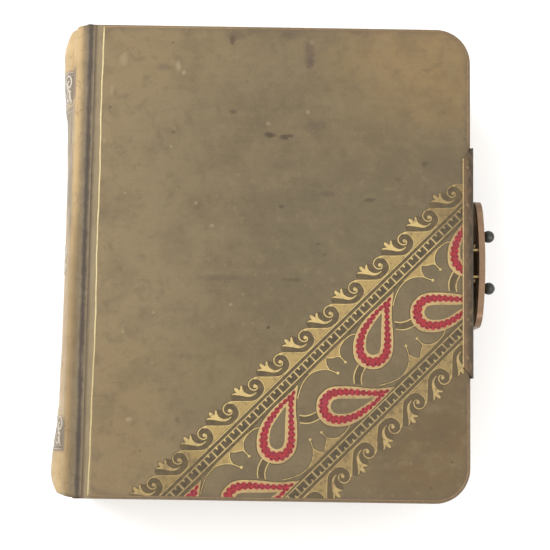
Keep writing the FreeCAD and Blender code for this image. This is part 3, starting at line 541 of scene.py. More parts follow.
MAT["ink"] = ink_mat()
MAT["cell"] = cell_mat()
MAT["crimson"] = crimson_mat()
MAT["wine"] = simple("crimson_shade", (0.190, 0.012, 0.024), (0.125, 0.010, 0.016), 1.2, (0.5, 0.6), 0.0, 0.05, 0.3)
MAT["paper"] = simple("endpaper", (0.60, 0.49, 0.33), (0.52, 0.41, 0.26), 0.08, (0.7, 0.85), 0.0, 0.05, 0.3)
MAT["board"] = simple("greyboard", (0.33, 0.26, 0.18), (0.27, 0.21, 0.14), 0.6, (0.8, 0.9), 0.0, 0.1, 0.2)
MAT["linen"] = simple("linen_tape", (0.62, 0.56, 0.44), (0.52, 0.46, 0.34), 2.0, (0.8, 0.9), 0.0, 0.1, 0.2, (1, 6, 1))
MAT["knob"] = simple("knob_iron", (0.075, 0.078, 0.064), (0.045, 0.043, 0.036), 0.9, (0.30, 0.50), 0.75, 0.06, 0.5)
MAT["rivet"] = simple("rivet_brass", (0.30, 0.20, 0.11), (0.17, 0.11, 0.06), 0.8, (0.32, 0.5), 0.8, 0.04)
MAT["spring"] = simple("spring_brass", (0.52, 0.38, 0.18), (0.40, 0.28, 0.12), 0.8, (0.28, 0.42), 0.9, 0.03)
MAT["steel"] = simple("pin_steel", (0.26, 0.24, 0.21), (0.16, 0.14, 0.12), 0.9, (0.3, 0.45), 0.9, 0.03)


# ------------------------------------------------------------------ mesh helpers
def make(name, verts, faces, body, mat, smooth=False, replaces=(), mm=True):
    me = bpy.data.meshes.new(name)
    me.from_pydata([tuple(P(*v)) if mm else tuple(v) for v in verts], [], faces)
    me.validate()
    ob = bpy.data.objects.new(name, me)
    bpy.context.scene.collection.objects.link(ob)
    me.materials.append(mat)
    for p in me.polygons:
        p.use_smooth = smooth
    if body:
        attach(ob, body)
    if replaces:
        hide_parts(*replaces)
    return ob


def area(loop):
    return 0.5 * sum(loop[i][0] * loop[(i + 1) % len(loop)][1] - loop[(i + 1) % len(loop)][0] * loop[i][1] for i in range(len(loop)))


class Layer:
    """Thin flat shapes lying on the cover, gathered into one mesh."""
    def __init__(self):
        self.v, self.f, self.k = [], [], 0

    def shape(self, loops, z0, z1, inset=0.0):
        loops = [list(l) for l in loops]
        if area(loops[0]) < 0:
            loops[0].reverse()
        for h in loops[1:]:
            if area(h) > 0:
                h.reverse()
        base = len(self.v)
        flat = [p for l in loops for p in l]
        n = len(flat)
        self.k += 1
        z1 = z1 + 0.0007 * (self.k % 9)
        self.v += [(p[0], p[1], z0) for p in flat]
        self.v += [(p[0], p[1], z1) for p in flat]
        tris = tessellate_polygon([[Vector((p[0], p[1], 0)) for p in l] for l in loops])
        for a, b, c in tris:
            s = (flat[b][0] - flat[a][0]) * (flat[c][1] - flat[a][1]) - (flat[c][0] - flat[a][0]) * (flat[b][1] - flat[a][1])
            if abs(s) < 1e-9:
                continue
            if s < 0:
                b, c = c, b
            self.f.append((base + n + a, base + n + b, base + n + c))
            self.f.append((base + c, base + b, base + a))
        o = 0
        for l in loops:
            m = len(l)
            for i in range(m):
                j = (i + 1) % m
                self.f.append((base + o + i, base + o + j, base + n + o + j, base + n + o + i))
            o += m

    def stroke(self, outline, z0, z1):
        """A strip between the two halves of a stroke's outline."""
        n = len(outline) // 2
        base = len(self.v)
        self.k += 1
        z1 = z1 + 0.0007 * (self.k % 9)
        a, b = outline[:n], outline[n:][::-1]
        for p, q in zip(a, b):
            self.v += [(p[0], p[1], z0), (q[0], q[1], z0), (p[0], p[1], z1), (q[0], q[1], z1)]
        fs = []
        for i in range(n - 1):
            o, w = base + 4 * i, base + 4 * i + 4
            fs += [(o + 2, o + 3, w + 3, w + 2), (o, w, w + 1, o + 1), (o, o + 2, w + 2, w), (o + 1, w + 1, w + 3, o + 3)]
        o, w = base, base + 4 * (n - 1)
        fs += [(o, o + 1, o + 3, o + 2), (w, w + 2, w + 3, w + 1)]
        p0, p1, p2 = (Vector(self.v[i]) for i in (base + 2, base + 3, base + 7))
        if (p1 - p0).cross(p2 - p0).z < 0:
            fs = [f[::-1] for f in fs]
        self.f += fs

    def build(self, name, body, mat, clip, slot):
        me = bpy.data.meshes.new(name)
        me.from_pydata([tuple(P(*v)) for v in self.v], [], self.f)
        bm = bmesh.new()
        bm.from_mesh(me)
        for co, no in clip:
            geom = bm.verts[:] + bm.edges[:] + bm.faces[:]
            res = bmesh.ops.bisect_plane(bm, geom=geom, plane_co=co, plane_no=no, clear_outer=True, dist=1e-7)
            cut = [e for e in res["geom_cut"] if isinstance(e, bmesh.types.BMEdge) and e.is_valid]
            if cut:
                bmesh.ops.holes_fill(bm, edges=cut, sides=0)
        bmesh.ops.dissolve_degenerate(bm, dist=1e-8, edges=bm.edges[:])
        bm.to_mesh(me)
        bm.free()
        me.validate()
        ob = bpy.data.objects.new(name, me)
        bpy.context.scene.collection.objects.link(ob)
        me.materials.append(mat)
        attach(ob, body)
        return ob


def catmull(pts, n=6, closed=False):
    out = []
    m = len(pts)
    rngi = range(m) if closed else range(m - 1)
    for i in rngi:
        p1, p2 = pts[i], pts[(i + 1) % m]
        p0 = pts[(i - 1) % m] if closed or i > 0 else (2 * p1[0] - p2[0], 2 * p1[1] - p2[1])
        p3 = pts[(i + 2) % m] if closed or i < m - 2 else (2 * p2[0] - p1[0], 2 * p2[1] - p1[1])
        for k in range(n):
            t = k / n
            out.append(tuple(0.5 * (2 * p1[a] + (p2[a] - p0[a]) * t + (2 * p0[a] - 5 * p1[a] + 4 * p2[a] - p3[a]) * t * t
                                    + (3 * p1[a] - p0[a] - 3 * p2[a] + p3[a]) * t ** 3) for a in (0, 1)))
    if not closed:
        out.append(tuple(pts[-1]))
    return out


def ribbon(path, w, taper0=1.0, taper1=1.0):
    """Outline of a stroke along path; w is its width, or a list of (fraction, width)."""
    n = len(path)
    left, right = [], []
    for i, p in enumerate(path):
        a = path[max(i - 1, 0)]
        b = path[min(i + 1, n - 1)]
        dx, dy = b[0] - a[0], b[1] - a[1]
        l = math.hypot(dx, dy) or 1.0
        nx, ny = -dy / l, dx / l
        f = i / (n - 1.0)
        if isinstance(w, (list, tuple)):
            for (f0, w0), (f1, w1) in zip(w, w[1:]):
                if f0 <= f <= f1:
                    ww = w0 + (w1 - w0) * (f - f0) / max(f1 - f0, 1e-9)
                    break
            else:
                ww = w[-1][1]
        else:
            ww = w * (taper0 + (1 - taper0) * min(1, f * 4)) * (taper1 + (1 - taper1) * min(1, (1 - f) * 4))
        left.append((p[0] + nx * ww / 2, p[1] + ny * ww / 2))
        right.append((p[0] - nx * ww / 2, p[1] - ny * ww / 2))
    return left + right[::-1]


def disc(c, r, n=14, sy=1.0):
    return [(c[0] + r * math.cos(2 * math.pi * i / n), c[1] + r * sy * math.sin(2 * math.pi * i / n)) for i in range(n)]


def resample(loop, step, closed=True):
    pts = list(loop) + ([loop[0]] if closed else [])
    seg = [math.hypot(pts[i + 1][0] - pts[i][0], pts[i + 1][1] - pts[i][1]) for i in range(len(pts) - 1)]
    total = sum(seg)
    n = max(3, int(round(total / step)))
    out, k, acc = [], 0, 0.0
    for i in range(n if closed else n + 1):
        d = total * i / n
        while k < len(seg) - 1 and acc + seg[k] < d:
            acc += seg[k]
            k += 1
        f = (d - acc) / max(seg[k], 1e-9)
        out.append((pts[k][0] + (pts[k + 1][0] - pts[k][0]) * f, pts[k][1] + (pts[k + 1][1] - pts[k][1]) * f))
    return out, total


def offset_scallop(loop, d, amp, pitch, step=0.16):
    """Loop moved inwards (d > 0) with a scalloped edge."""
    if area(loop) < 0:
        loop = loop[::-1]
    pts, total = resample(loop, step)
    n = len(pts)
    k = max(3, round(total / pitch))
    out = []
    for i, p in enumerate(pts):
        a, b = pts[(i - 3) % n], pts[(i + 3) % n]
        dx, dy = b[0] - a[0], b[1] - a[1]
        l = math.hypot(dx, dy) or 1.0
        o = d - amp * abs(math.sin(math.pi * k * i / n))
        out.append((p[0] - dy / l * o, p[1] + dx / l * o))
    return out


# ------------------------------------------------------------------ ornament on the front cover
# band frame: t runs along the diagonal towards the head, s across it towards the spine-head corner
OU, OV = 60.0, 37.0
C45 = math.sqrt(0.5)


def ts(t, s):
    return (OU + (t - s) * C45, OV + (t + s) * C45)


def low(t, s):
    """Mirror image across the middle of the band."""
    return (t, -33.4 - s)


Z = TOP
# of these layers, the first holds painted shade around and under the tooled gilt
ink, fill, gold, peach, crim, cell, lobe = Layer(), Layer(), Layer(), Layer(), Layer(), Layer(), Layer()

spiral = catmull([(0.55, -0.15), (0.32, -0.62), (-0.22, -0.95), (-0.95, -0.72), (-1.45, 0.05), (-1.52, 0.95), (-1.10, 1.78), (-0.30, 2.25),
                  (0.70, 2.30), (1.60, 1.95), (2.30, 1.42)], 6)
crest_out = catmull([(1.60, 2.12), (2.55, 1.52), (3.74, 0.40), (4.93, -0.79), (6.12, -1.86), (7.19, -2.81), (8.26, -3.30), (9.9, -3.46)], 5)
crest_in = catmull([(1.36, 1.83), (2.07, 1.24), (2.43, 0.52), (2.48, -0.43), (2.26, -1.38), (1.83, -2.33), (1.12, -2.93), (0.17, -3.33), (-1.0, -3.46)], 5)
fleur = catmull([(-7.22, 3.14), (-6.50, 3.10), (-5.95, 2.82), (-5.55, 2.42)], 4) + \
    catmull([(-5.50, 2.95), (-5.42, 3.62), (-4.95, 4.12), (-4.52, 3.70), (-4.42, 2.90), (-4.26, 2.32)], 4) + \
    catmull([(-3.80, 2.72), (-3.36, 3.08), (-2.86, 3.14), (-3.06, 2.60), (-3.42, 2.06), (-3.60, 1.42), (-3.62, 0.90), (-3.36, 0.02), (-2.88, -0.72),
             (-1.98, -1.34), (-0.92, -1.54)], 4) + \
    catmull([(-1.00, -1.76), (-2.02, -1.72), (-3.00, -1.44), (-3.92, -0.70), (-4.62, 0.26), (-5.34, 1.22), (-5.94, 1.96), (-6.50, 2.62), (-7.22, 3.14)], 4)[:-1]
valley = [(-7.6, 3.0), (-7.3, 3.42), (-6.4, 3.36), (-5.75, 3.2), (-5.62, 3.85), (-5.0, 4.42), (-4.3, 3.9), (-4.2, 2.9), (-3.7, 3.15), (-2.9, 3.42),
          (-2.3, 2.9), (-1.75, 1.9), (-1.1, 2.35), (-0.2, 2.72), (0.8, 2.70), (1.9, 2.32), (2.6, 1.55), (2.55, -0.5), (2.0, -2.0), (1.2, -2.95), (-0.5, -3.5),
          (-2.2, -3.44), (-3.6, -2.9), (-4.9, -1.84), (-5.9, -0.85), (-7.1, 0.35), (-8.25, 1.5), (-8.0, 2.5)]

PITCH = 10.86
T0 = 16.64
SV = 2.55


def wob(i):
    q = random.Random(100 + i)
    return (q.random() - 0.5) * 0.12, (q.random() - 0.5) * 0.12


for row in (0, 1):
    tf = (lambda t, s: ts(t, s)) if row == 0 else (lambda t, s: ts(*low(t, s)))
    for i in range(-6, 7):
        c = T0 + PITCH * i + (0.1 if row else 0.0)
        du, dv = wob(i + 50 * row)

        def mv(l):
            return [tf(c + a + du, SV + b + dv) for a, b in l]
        near = 1.0
        ink.shape([mv(valley)], Z - 0.02, Z + 0.018)
        fill.shape([mv(crest_out + crest_in[::-1])], Z - 0.01, Z + 0.045)
        gold.stroke(mv(ribbon(spiral, [(0, .34), (.3, .36), (.75, .34), (1, .30)])), Z - 0.01, Z + 0.070)
        gold.shape([mv(disc((0.02, 0.08), 0.56, 16))], Z - 0.01, Z + 0.078)
        gold.stroke(mv(ribbon(crest_out, [(0, .28), (.3, .26), (1, .20)])), Z - 0.01, Z + 0.068)
        gold.stroke(mv(ribbon(crest_in, [(0, .20), (.3, .20), (1, .22)])), Z - 0.01, Z + 0.066)
        gold.shape([mv(fleur)], Z - 0.01, Z + 0.066)

    # ladder between the two rails
    def bar(layer, s0, s1, z1, t0=-60.0, t1=90.0):
        layer.shape([[tf(t0, s0), tf(t1, s0), tf(t1, s1), tf(t0, s1)]], Z - 0.01, z1)
    bar(gold, -1.02, -1.30, Z + 0.070)
    bar(ink, -1.30, -2.28, Z + 0.020)
    bar(gold, -2.28, -2.50, Z + 0.060)
    bar(gold, -4.90, -5.20, Z + 0.070)
    bar(ink, -5.20, -6.14, Z + 0.020)
    RP = 3.532
    for i in range(-17, 26):
        tr = -0.38 + RP * i + (0.25 if row else 0.0)
        q = random.Random(i + 7)
        gold.shape([[tf(tr - .17, -2.5), tf(tr + .17, -2.5), tf(tr + .17, -4.9), tf(tr - .17, -4.9)]], Z - 0.01, Z + 0.055)
        cell.shape([[tf(tr + .42, -2.72), tf(tr + RP - .42, -2.72), tf(tr + RP - .42, -4.72), tf(tr + .42, -4.72)]], Z - 0.01, Z + 0.022)
        tm = tr + RP / 2
        gold.shape([[tf(tm - .36, -2.5), tf(tm + .36, -2.5), tf(tm + .14, -3.35), tf(tm - .14, -3.35)]], Z - 0.01, Z + 0.056)

# cusps and arcs inside the band, every half period on alternate sides
HALF_P = 20.8
arcs_r = [catmull([(17.6, -18.3), (18.6, -17.0), (20.2, -15.8), (22.7, -14.9)], 6), catmull([(19.0, -20.1), (20.0, -18.8), (21.5, -17.8), (23.5, -17.1)], 6)]
p1 = catmull([(1.6, -9.4), (3.6, -8.2), (6.0, -7.1), (8.0, -6.65), (9.8, -6.62), (11.4, -7.0), (13.0, -7.85), (14.3, -9.0), (15.0, -9.9), (15.5, -11.0), (16.1, -12.2)], 6)
p2 = catmull([(15.05, -9.7), (15.25, -8.6), (15.8, -7.5), (16.5, -6.8), (17.1, -6.45)], 5)
p3 = catmull([(17.0, -6.45), (17.6, -7.2), (18.5, -7.95), (19.5, -8.45), (20.15, -9.1), (20.28, -10.0), (20.28, -11.4)], 5)
p4 = catmull([(20.3, -9.6), (20.6, -8.8), (21.3, -7.9), (22.3, -7.1), (24.0, -6.55), (26.0, -6.5), (27.6, -6.85), (28.6, -7.5)], 5)
root1 = [(9.2, -6.1), (9.9, -6.6), (11.4, -6.95), (13.0, -7.8), (14.3, -8.95), (15.0, -9.75), (15.25, -8.6), (15.8, -7.5), (16.5, -6.75), (17.0, -6.1)]
root2 = [(17.0, -6.1), (17.05, -6.5), (17.6, -7.2), (18.5, -7.95), (19.5, -8.45), (20.15, -9.1), (20.3, -9.6), (20.6, -8.8), (21.3, -7.9), (22.3, -7.05), (24.0, -6.5), (25.4, -6.1)]
for k in range(-3, 4):
    tf = (lambda t, s, k=k: ts(t + HALF_P * k, s)) if k % 2 == 0 else (lambda t, s, k=k: ts(t + HALF_P * k + 0.3, -33.4 - s))

    def mv(l):
        return [tf(a, b) for a, b in l]
    for path in (p1, p2, p3, p4):
        ink.stroke(mv(ribbon(path, 0.80)), Z - 0.02, Z + 0.015)
        gold.stroke(mv(ribbon(path, 0.28)), Z - 0.01, Z + 0.068)
    for rt in (root1, root2):
        fill.shape([mv(rt)], Z - 0.01, Z + 0.045)
    gold.shape([mv(disc((16.2, -12.35), 0.46, 14))], Z - 0.01, Z + 0.072)
    gold.shape([mv(disc((20.28, -11.55), 0.42, 14))], Z - 0.01, Z + 0.072)
    ink.shape([mv(arcs_r[0] + arcs_r[1][::-1])], Z - 0.02, Z + 0.014)
    for a in arcs_r:
        gold.stroke(mv(ribbon(a, 0.34)), Z - 0.01, Z + 0.068)

# teardrops: place in u, v; the lower ones are the same drop turned over the diagonal
drop_out = catmull([(13.35, 25.5), (12.6, 24.5), (10.4, 22.4), (8.3, 20.4), (6.5, 18.8), (4.7, 16.8), (3.1, 14.7), (2.0, 12.7), (1.3, 10.9), (.93, 9.1), (.86, 7.4),
                    (1.0, 5.6), (1.5, 4.1), (2.4, 2.9), (3.6, 1.9), (5.25, 1.25), (6.9, 1.07), (8.6, 1.25), (9.9, 1.75), (11.1, 2.8), (12.3, 4.1), (13.0, 5.8),
                    (13.3, 7.7), (13.35, 9.9), (13.3, 11.8), (13.15, 14.1), (12.95, 15.9), (12.78, 18.0), (12.85, 20.75), (13.1, 22.9)], 4, True)
drop_hole = catmull([(9.75, 18.3), (9.2, 18.1), (7.9, 16.3), (6.7, 14.5), (5.7, 12.9), (5.07, 11.3), (4.8, 9.5), (4.8, 7.7), (5.25, 6.5), (6.1, 5.75), (7.1, 5.5), (8.1, 5.75),
                     (9.0, 6.5), (9.45, 8.1), (9.55, 10.9), (9.58, 14.5)], 4, True)
crim_out = offset_scallop(catmull([(12.35, 23.9), (11.6, 22.9), (10.4, 21.7), (8.2, 19.7), (6.6, 17.9), (5.0, 16.0), (3.6, 13.9), (2.7, 11.9), (2.1, 10.0), (1.85, 8.0),
                                   (2.1, 5.9), (2.9, 4.2), (4.2, 2.9), (5.6, 2.2), (7.1, 2.0), (8.7, 2.2), (10.1, 3.0), (11.4, 4.2), (12.2, 5.9), (12.45, 7.8), (12.5, 10.0),
                                   (12.3, 12.5), (12.1, 15.0), (11.95, 17.5), (12.0, 20.0), (12.3, 22.5)], 4, True), 0.30, 0.58, 1.85)
crim_in = offset_scallop(catmull([(10.35, 20.0), (9.3, 19.3), (8.0, 17.6), (6.8, 15.7), (5.6, 13.8), (4.75, 11.8), (4.3, 9.9), (4.2, 7.9), (4.5, 6.2), (5.4, 5.05), (6.6, 4.7),
                                  (7.9, 4.75), (9.2, 5.3), (10.0, 6.6), (10.45, 8.4), (10.6, 11.0), (10.6, 14.5), (10.6, 17.8)], 4, True), -0.34, -0.48, 1.70)
rim = catmull([(13.35, 25.5), (12.55, 24.3), (10.35, 22.2), (8.3, 20.2), (6.5, 18.5), (4.8, 16.6), (3.25, 14.5), (2.15, 12.6), (1.5, 10.8), (1.15, 9.0), (1.08, 7.4),
               (1.2, 5.7), (1.7, 4.2), (2.6, 3.05), (3.75, 2.1), (5.3, 1.5), (6.9, 1.3), (8.5, 1.5), (9.8, 1.98), (10.95, 2.95), (12.1, 4.2), (12.8, 5.8),
               (13.1, 7.7), (13.12, 9.9), (13.1, 11.8), (12.95, 14.1), (12.75, 15.9), (12.6, 18.0), (12.68, 20.75), (12.95, 22.9), (13.35, 25.5)], 4)
hole_rim = catmull([(9.9, 18.9), (9.1, 18.3), (7.75, 16.5), (6.5, 14.6), (5.5, 12.9), (4.87, 11.4), (4.6, 9.5), (4.6, 7.6), (5.1, 6.35), (6.0, 5.5), (7.1, 5.25), (8.2, 5.5),
                    (9.2, 6.35), (9.68, 8.1), (9.78, 10.9), (9.82, 14.5), (9.95, 17.6), (9.9, 18.9)], 4)
ink_out = offset_scallop(drop_out, -0.34, 0.0, 3.0)
# small darker lobes that give the crimson its corded look, along both of its edges
lobes = []
for base_loop, inset, pitch, r in ((crim_out, 0.50, 1.60, 0.30), (crim_in, -0.44, 1.40, 0.24)):
    if area(base_loop) < 0:
        base_loop = base_loop[::-1]
    pts_, _ = resample(base_loop, pitch)
    for i_, p_ in enumerate(pts_):
        a_, b_ = pts_[i_ - 1], pts_[(i_ + 1) % len(pts_)]
        dx_, dy_ = b_[0] - a_[0], b_[1] - a_[1]
        l_ = math.hypot(dx_, dy_)
        lobes.append(((p_[0] - dy_ / l_ * inset, p_[1] + dx_ / l_ * inset), r * (0.8 + 0.4 * random.Random(i_).random())))
upper_drops = [(84.0, 40.0), (84.0 - 29.5, 40.0 - 29.5), (84.0 + 29.35, 40.0 + 29.35), (84.0 - 58.9, 40.0 - 58.9)]
for du, dv in upper_drops:
    def mv(l):
        return [(a + du, b + dv) for a, b in l]
    ink.shape([mv(ink_out)], Z - 0.02, Z + 0.012)
    peach.shape([mv(drop_out), mv(drop_hole)], Z - 0.01, Z + 0.040)
    crim.shape([mv(crim_out), mv(crim_in)], Z - 0.01, Z + 0.058)
    for c_, r_ in lobes:
        lobe.shape([mv(disc(c_, r_, 9))], Z + 0.03, Z + 0.070)
    gold.stroke(mv(ribbon(rim, 0.24)), Z - 0.01, Z + 0.066)
    gold.stroke(mv(ribbon(hole_rim, 0.24)), Z - 0.01, Z + 0.066)
# the hole shows the leather: a patch of the cover's own leather over the painted shade underlay
hole_l = Layer()
for du, dv in upper_drops:
    hole_l.shape([[(a + du, b + dv) for a, b in drop_hole]], Z - 0.02, Z + 0.030)
lower_drops = [(72.55, 22.35), (72.55 + 28.95, 22.35 + 29.6), (72.55 - 29.2, 22.35 - 29.2)]
for du, dv in lower_drops:
    def mv(l):
        return [(b + du, a + dv) for a, b in l]
    ink.shape([mv(ink_out)], Z - 0.02, Z + 0.012)
    peach.shape([mv(drop_out), mv(drop_hole)], Z - 0.01, Z + 0.040)
    crim.shape([mv(crim_out), mv(crim_in)], Z - 0.01, Z + 0.058)
    for c_, r_ in lobes:
        lobe.shape([mv(disc(c_, r_, 9))], Z + 0.03, Z + 0.070)
    gold.stroke(mv(ribbon(rim, 0.24)), Z - 0.01, Z + 0.066)
    gold.stroke(mv(ribbon(hole_rim, 0.24)), Z - 0.01, Z + 0.066)
    hole_l.shape([mv(drop_hole)], Z - 0.02, Z + 0.030)

INSET = 1.25
clip = [(P(UE - 2.25, 0, 0), Vector((1, 0, 0))), (P(0, INSET, 0), Vector((0, -1, 0))), (P(4.6, 0, 0), Vector((-1, 0, 0)))]
# painted shade of the tooled impressions
ink.build("ornament_painted_shade", "front_cover", MAT["ink"], clip, "cover_leather")
cell.build("ornament_cells", "front_cover", MAT["cell"], clip, "cover_leather")
fill.build("ornament_gilt_fill", "front_cover", MAT["goldfill"], clip, None)
gold.build("ornament_gilt_lines", "front_cover", MAT["gold"], clip, None)
peach.build("ornament_drop_gilt", "front_cover", MAT["peach"], clip, None)
crim.build("ornament_drop_crimson", "front_cover", MAT["crimson"], clip, None)
lobe.build("ornament_drop_lobes", "front_cover", MAT["wine"], clip, None)
hole_l.build("ornament_drop_leather", "front_cover", MAT["front"], clip, "cover_leather")


# ------------------------------------------------------------------ gilt lines of the cover
def tube(name, path, r, body, mat, flat=0.45, n=8):
    """Thin raised line; its section is squashed towards the cover."""
    verts, faces = [], []
    m = len(path)
    for i, p in enumerate(path):
        a, b = Vector(path[max(i - 1, 0)]), Vector(path[min(i + 1, m - 1)])
        d = (b - a).normalized()
        up = Vector((0, 0, 1))
        side = d.cross(up).normalized()
        up2 = side.cross(d).normalized()
        q = random.Random(i * 3 + 1)
        rr = r * (0.86 + 0.28 * q.random())
        for k in range(n):
            an = 2 * math.pi * k / n
            o = Vector(p) + side * (math.cos(an) * rr) + up2 * (math.sin(an) * r * flat)
            verts.append(tuple(o))
    for i in range(m - 1):
        for k in range(n):
            k2 = (k + 1) % n
            faces.append((i * n + k, i * n + k2, (i + 1) * n + k2, (i + 1) * n + k))
    faces.append(tuple(range(n))[::-1])
    faces.append(tuple((m - 1) * n + k for k in range(n)))
    return make(name, verts, faces, body, mat, True)


def edge_z(d, top=TOP, r=1.3, up=1):
    """Height of the softened rim at inset d from the board's edge."""
    if d >= r:
        return top
    return top - up * (r - math.sqrt(max(r * r - (r - d) ** 2, 0.0)))


def rim_path(d, z, seg):
    """Pieces of the line that follows the board's outline at inset d."""
    r = 11.0 - d
    cu, cv0, cv1 = UE - 11.0, 11.0, 150.0 - 11.0
    out = []
    if seg == "head":
        out = [(4.0 + (cu - 4.0) * i / 60.0, 150.0 - d, z) for i in range(61)]
        out += [(cu + r * math.sin(math.pi / 2 * i / 14.0), cv1 + r * math.cos(math.pi / 2 * i / 14.0), z) for i in range(1, 15)]
        out += [(UE - d, cv1 - (cv1 - 112.4) * i / 14.0, z) for i in range(1, 15)]
    if seg == "tail":
        out = [(UE - d, 37.4 - (37.4 - cv0) * i / 14.0, z) for i in range(15)]
        out += [(cu + r * math.cos(math.pi / 2 * i / 14.0), cv0 - r * math.sin(math.pi / 2 * i / 14.0), z) for i in range(1, 15)]
        out += [(cu - (cu - 4.0) * i / 60.0, d, z) for i in range(1, 61)]
    return out


zline = edge_z(0.95)
tube("gilt_line_head", rim_path(0.95, zline + 0.02, "head"), 0.15, "front_cover", MAT["rimline"])
tube("gilt_line_tail", rim_path(0.95, zline + 0.02, "tail"), 0.13, "front_cover", MAT["rimline"])
q = random.Random(5)
wv = [(0.0, 0.0)]
left = []
for i in range(101):
    v = 0.95 + (150 - 1.9) * i / 100.0
    left.append((4.38 - 0.75 * max(0.0, 1.0 - v / 42.0) + 0.10 * math.sin(i * 0.21) + 0.05 * math.sin(i * 0.83 + 1), v, TOP + 0.02))
tube("gilt_line_spine_side", left, 0.24, "front_cover", MAT["line"], 0.35)

# ------------------------------------------------------------------ spine leather
WAIST = [(0.0, 8.0), (25.0, 8.05), (40.0, 8.4), (46.0, 8.7), (50.0, 9.35), (60.0, 10.15), (64.0, 10.4), (75.0, 10.95)]


def reach(v):
    y = abs(v - 75.0)
    for (a, b), (c, d) in zip(WAIST, WAIST[1:]):
        if a <= y <= c:
            f = (y - a) / (c - a)
            f = f * f * (3 - 2 * f)
            return b + (d - b) * f - (0.7 * math.exp(-((v - 22.0) / 9.0) ** 2))
    return WAIST[-1][1]


def cap_pull(v):
    """Rounded head and tail caps: the leather draws in over the last millimetres."""
    e = min(v, 150.0 - v)
    if e > 7.0:
        return 0.0
    f = 1.0 - e / 7.0
    return 4.3 * (1.0 - math.sqrt(max(0.0, 1.0 - f * f)))


def end_round(u, v):
    """The leather's ends sweep down towards the outside of the spine."""
    e = 1.7 * (max(0.0, -1.5 - u) / 7.0) ** 1.6
    return 75.0 + (v - 75.0) * (1.0 - e / 75.0)


ZC = (TOP) / 2.0
SH_U, SH_Z = -3.7, 37.65


def spine_point(phi, v, grow=0.0):
    b = reach(v) - cap_pull(v) * max(0.0, math.sin(math.pi * phi)) ** 0.7 + grow
    sn, cs = math.sin(math.pi * phi), math.cos(math.pi * phi)
    u = SH_U - (b + SH_U) * (max(sn, 0.0) ** 0.82)
    z = ZC + (SH_Z - ZC) * (abs(cs) ** 0.9) * (1 if cs >= 0 else -1)
    # small unevenness of old leather
    w = mnoise.noise(Vector((u * 0.12, v * 0.05, z * 0.12))) * 0.12 * sn
    return (u + w, v, z)


def spine_skin():
    nv, nphi = 150, 40
    vs = [0.35 + (150 - 0.7) * i / nv for i in range(nv + 1)]
    verts, faces = [], []
    for lay, th in ((0, 0.0), (1, -0.9)):
        for v in vs:
            for j in range(nphi + 1):
                ph = j / nphi
                p = spine_point(ph, v)
                if lay:
                    c = (SH_U + 1.5, ZC)
                    d = Vector((p[0] - c[0], p[2] - c[1]))
                    d2 = d.normalized() * th
                    p = (p[0] + d2.x, p[1], p[2] + d2.y)
                verts.append((p[0], end_round(p[0], p[1]), p[2]))
    n1 = nphi + 1
    off = (nv + 1) * n1
    for i in range(nv):
        for j in range(nphi):
            a = i * n1 + j
            faces.append((a, a + 1, a + n1 + 1, a + n1))
            faces.append((off + a, off + a + n1, off + a + n1 + 1, off + a + 1))
        a = i * n1
        faces.append((a, a + n1, off + a + n1, off + a))
        a = i * n1 + nphi
        faces.append((a, off + a, off + a + n1, a + n1))
    for j in range(nphi):
        a = j
        faces.append((a, off + a, off + a + 1, a + 1))
        a = nv * n1 + j
        faces.append((a, a + 1, off + a + 1, off + a))
    return make("spine_cover", verts, faces, "text_block", MAT["spine"], True,
                ("spine_leather", "spine_head_band", "spine_tail_band", "spine_centre_ornament"))


spine_skin()


# tooled scroll ornaments on the spine: raised strokes laid on the curved leather
def spine_stroke(name, strokes, mat):
    verts, faces = [], []
    for path, w in strokes:
        m = len(path)
        n = 6
        base = len(verts)
        for i, (ph, v) in enumerate(path):
            f = i / (m - 1.0)
            ww = w * (0.35 + 0.65 * math.sin(math.pi * min(max(f, 0.04), 0.96)) ** 0.5)
            a = path[max(i - 1, 0)]
            b = path[min(i + 1, m - 1)]
            pa, pb = Vector(spine_point(a[0], a[1])), Vector(spine_point(b[0], b[1]))
            d = (pb - pa).normalized()
            pc = Vector(spine_point(ph, v))
            e = 0.01
            nrm = (Vector(spine_point(min(ph + e, 1), v)) - Vector(spine_point(max(ph - e, 0), v))).cross(Vector((0, 1, 0))).normalized()
            if nrm.x > 0 and ph > 0.06:
                nrm = -nrm
            side = d.cross(nrm).normalized()
            for k in range(n):
                an = 2 * math.pi * k / n
                verts.append(tuple(pc + side * math.cos(an) * ww / 2 + nrm * (math.sin(an) * 0.22)))
        for i in range(m - 1):
            for k in range(n):
                k2 = (k + 1) % n
                faces.append((base + i * n + k, base + i * n + k2, base + (i + 1) * n + k2, base + (i + 1) * n + k))
        faces.append(tuple(base + k for k in range(n))[::-1])
        faces.append(tuple(base + (m - 1) * n + k for k in range(n)))
    return make(name, verts, faces, "text_block", mat, True)


def spiral_path(c, r0, r1, turns, a0, sgn=1, n=26, k=0.030):
    """Scroll on the spine; c = (phi, v), radii in mm, k turns mm into phi."""
    out = []
    for i in range(n + 1):
        f = i / n
        r = r0 + (r1 - r0) * f
        a = a0 + sgn * turns * 2 * math.pi * f
        out.append((min(max(c[0] + math.cos(a) * r * k, 0.02), 0.98), c[1] + math.sin(a) * r))
    return out


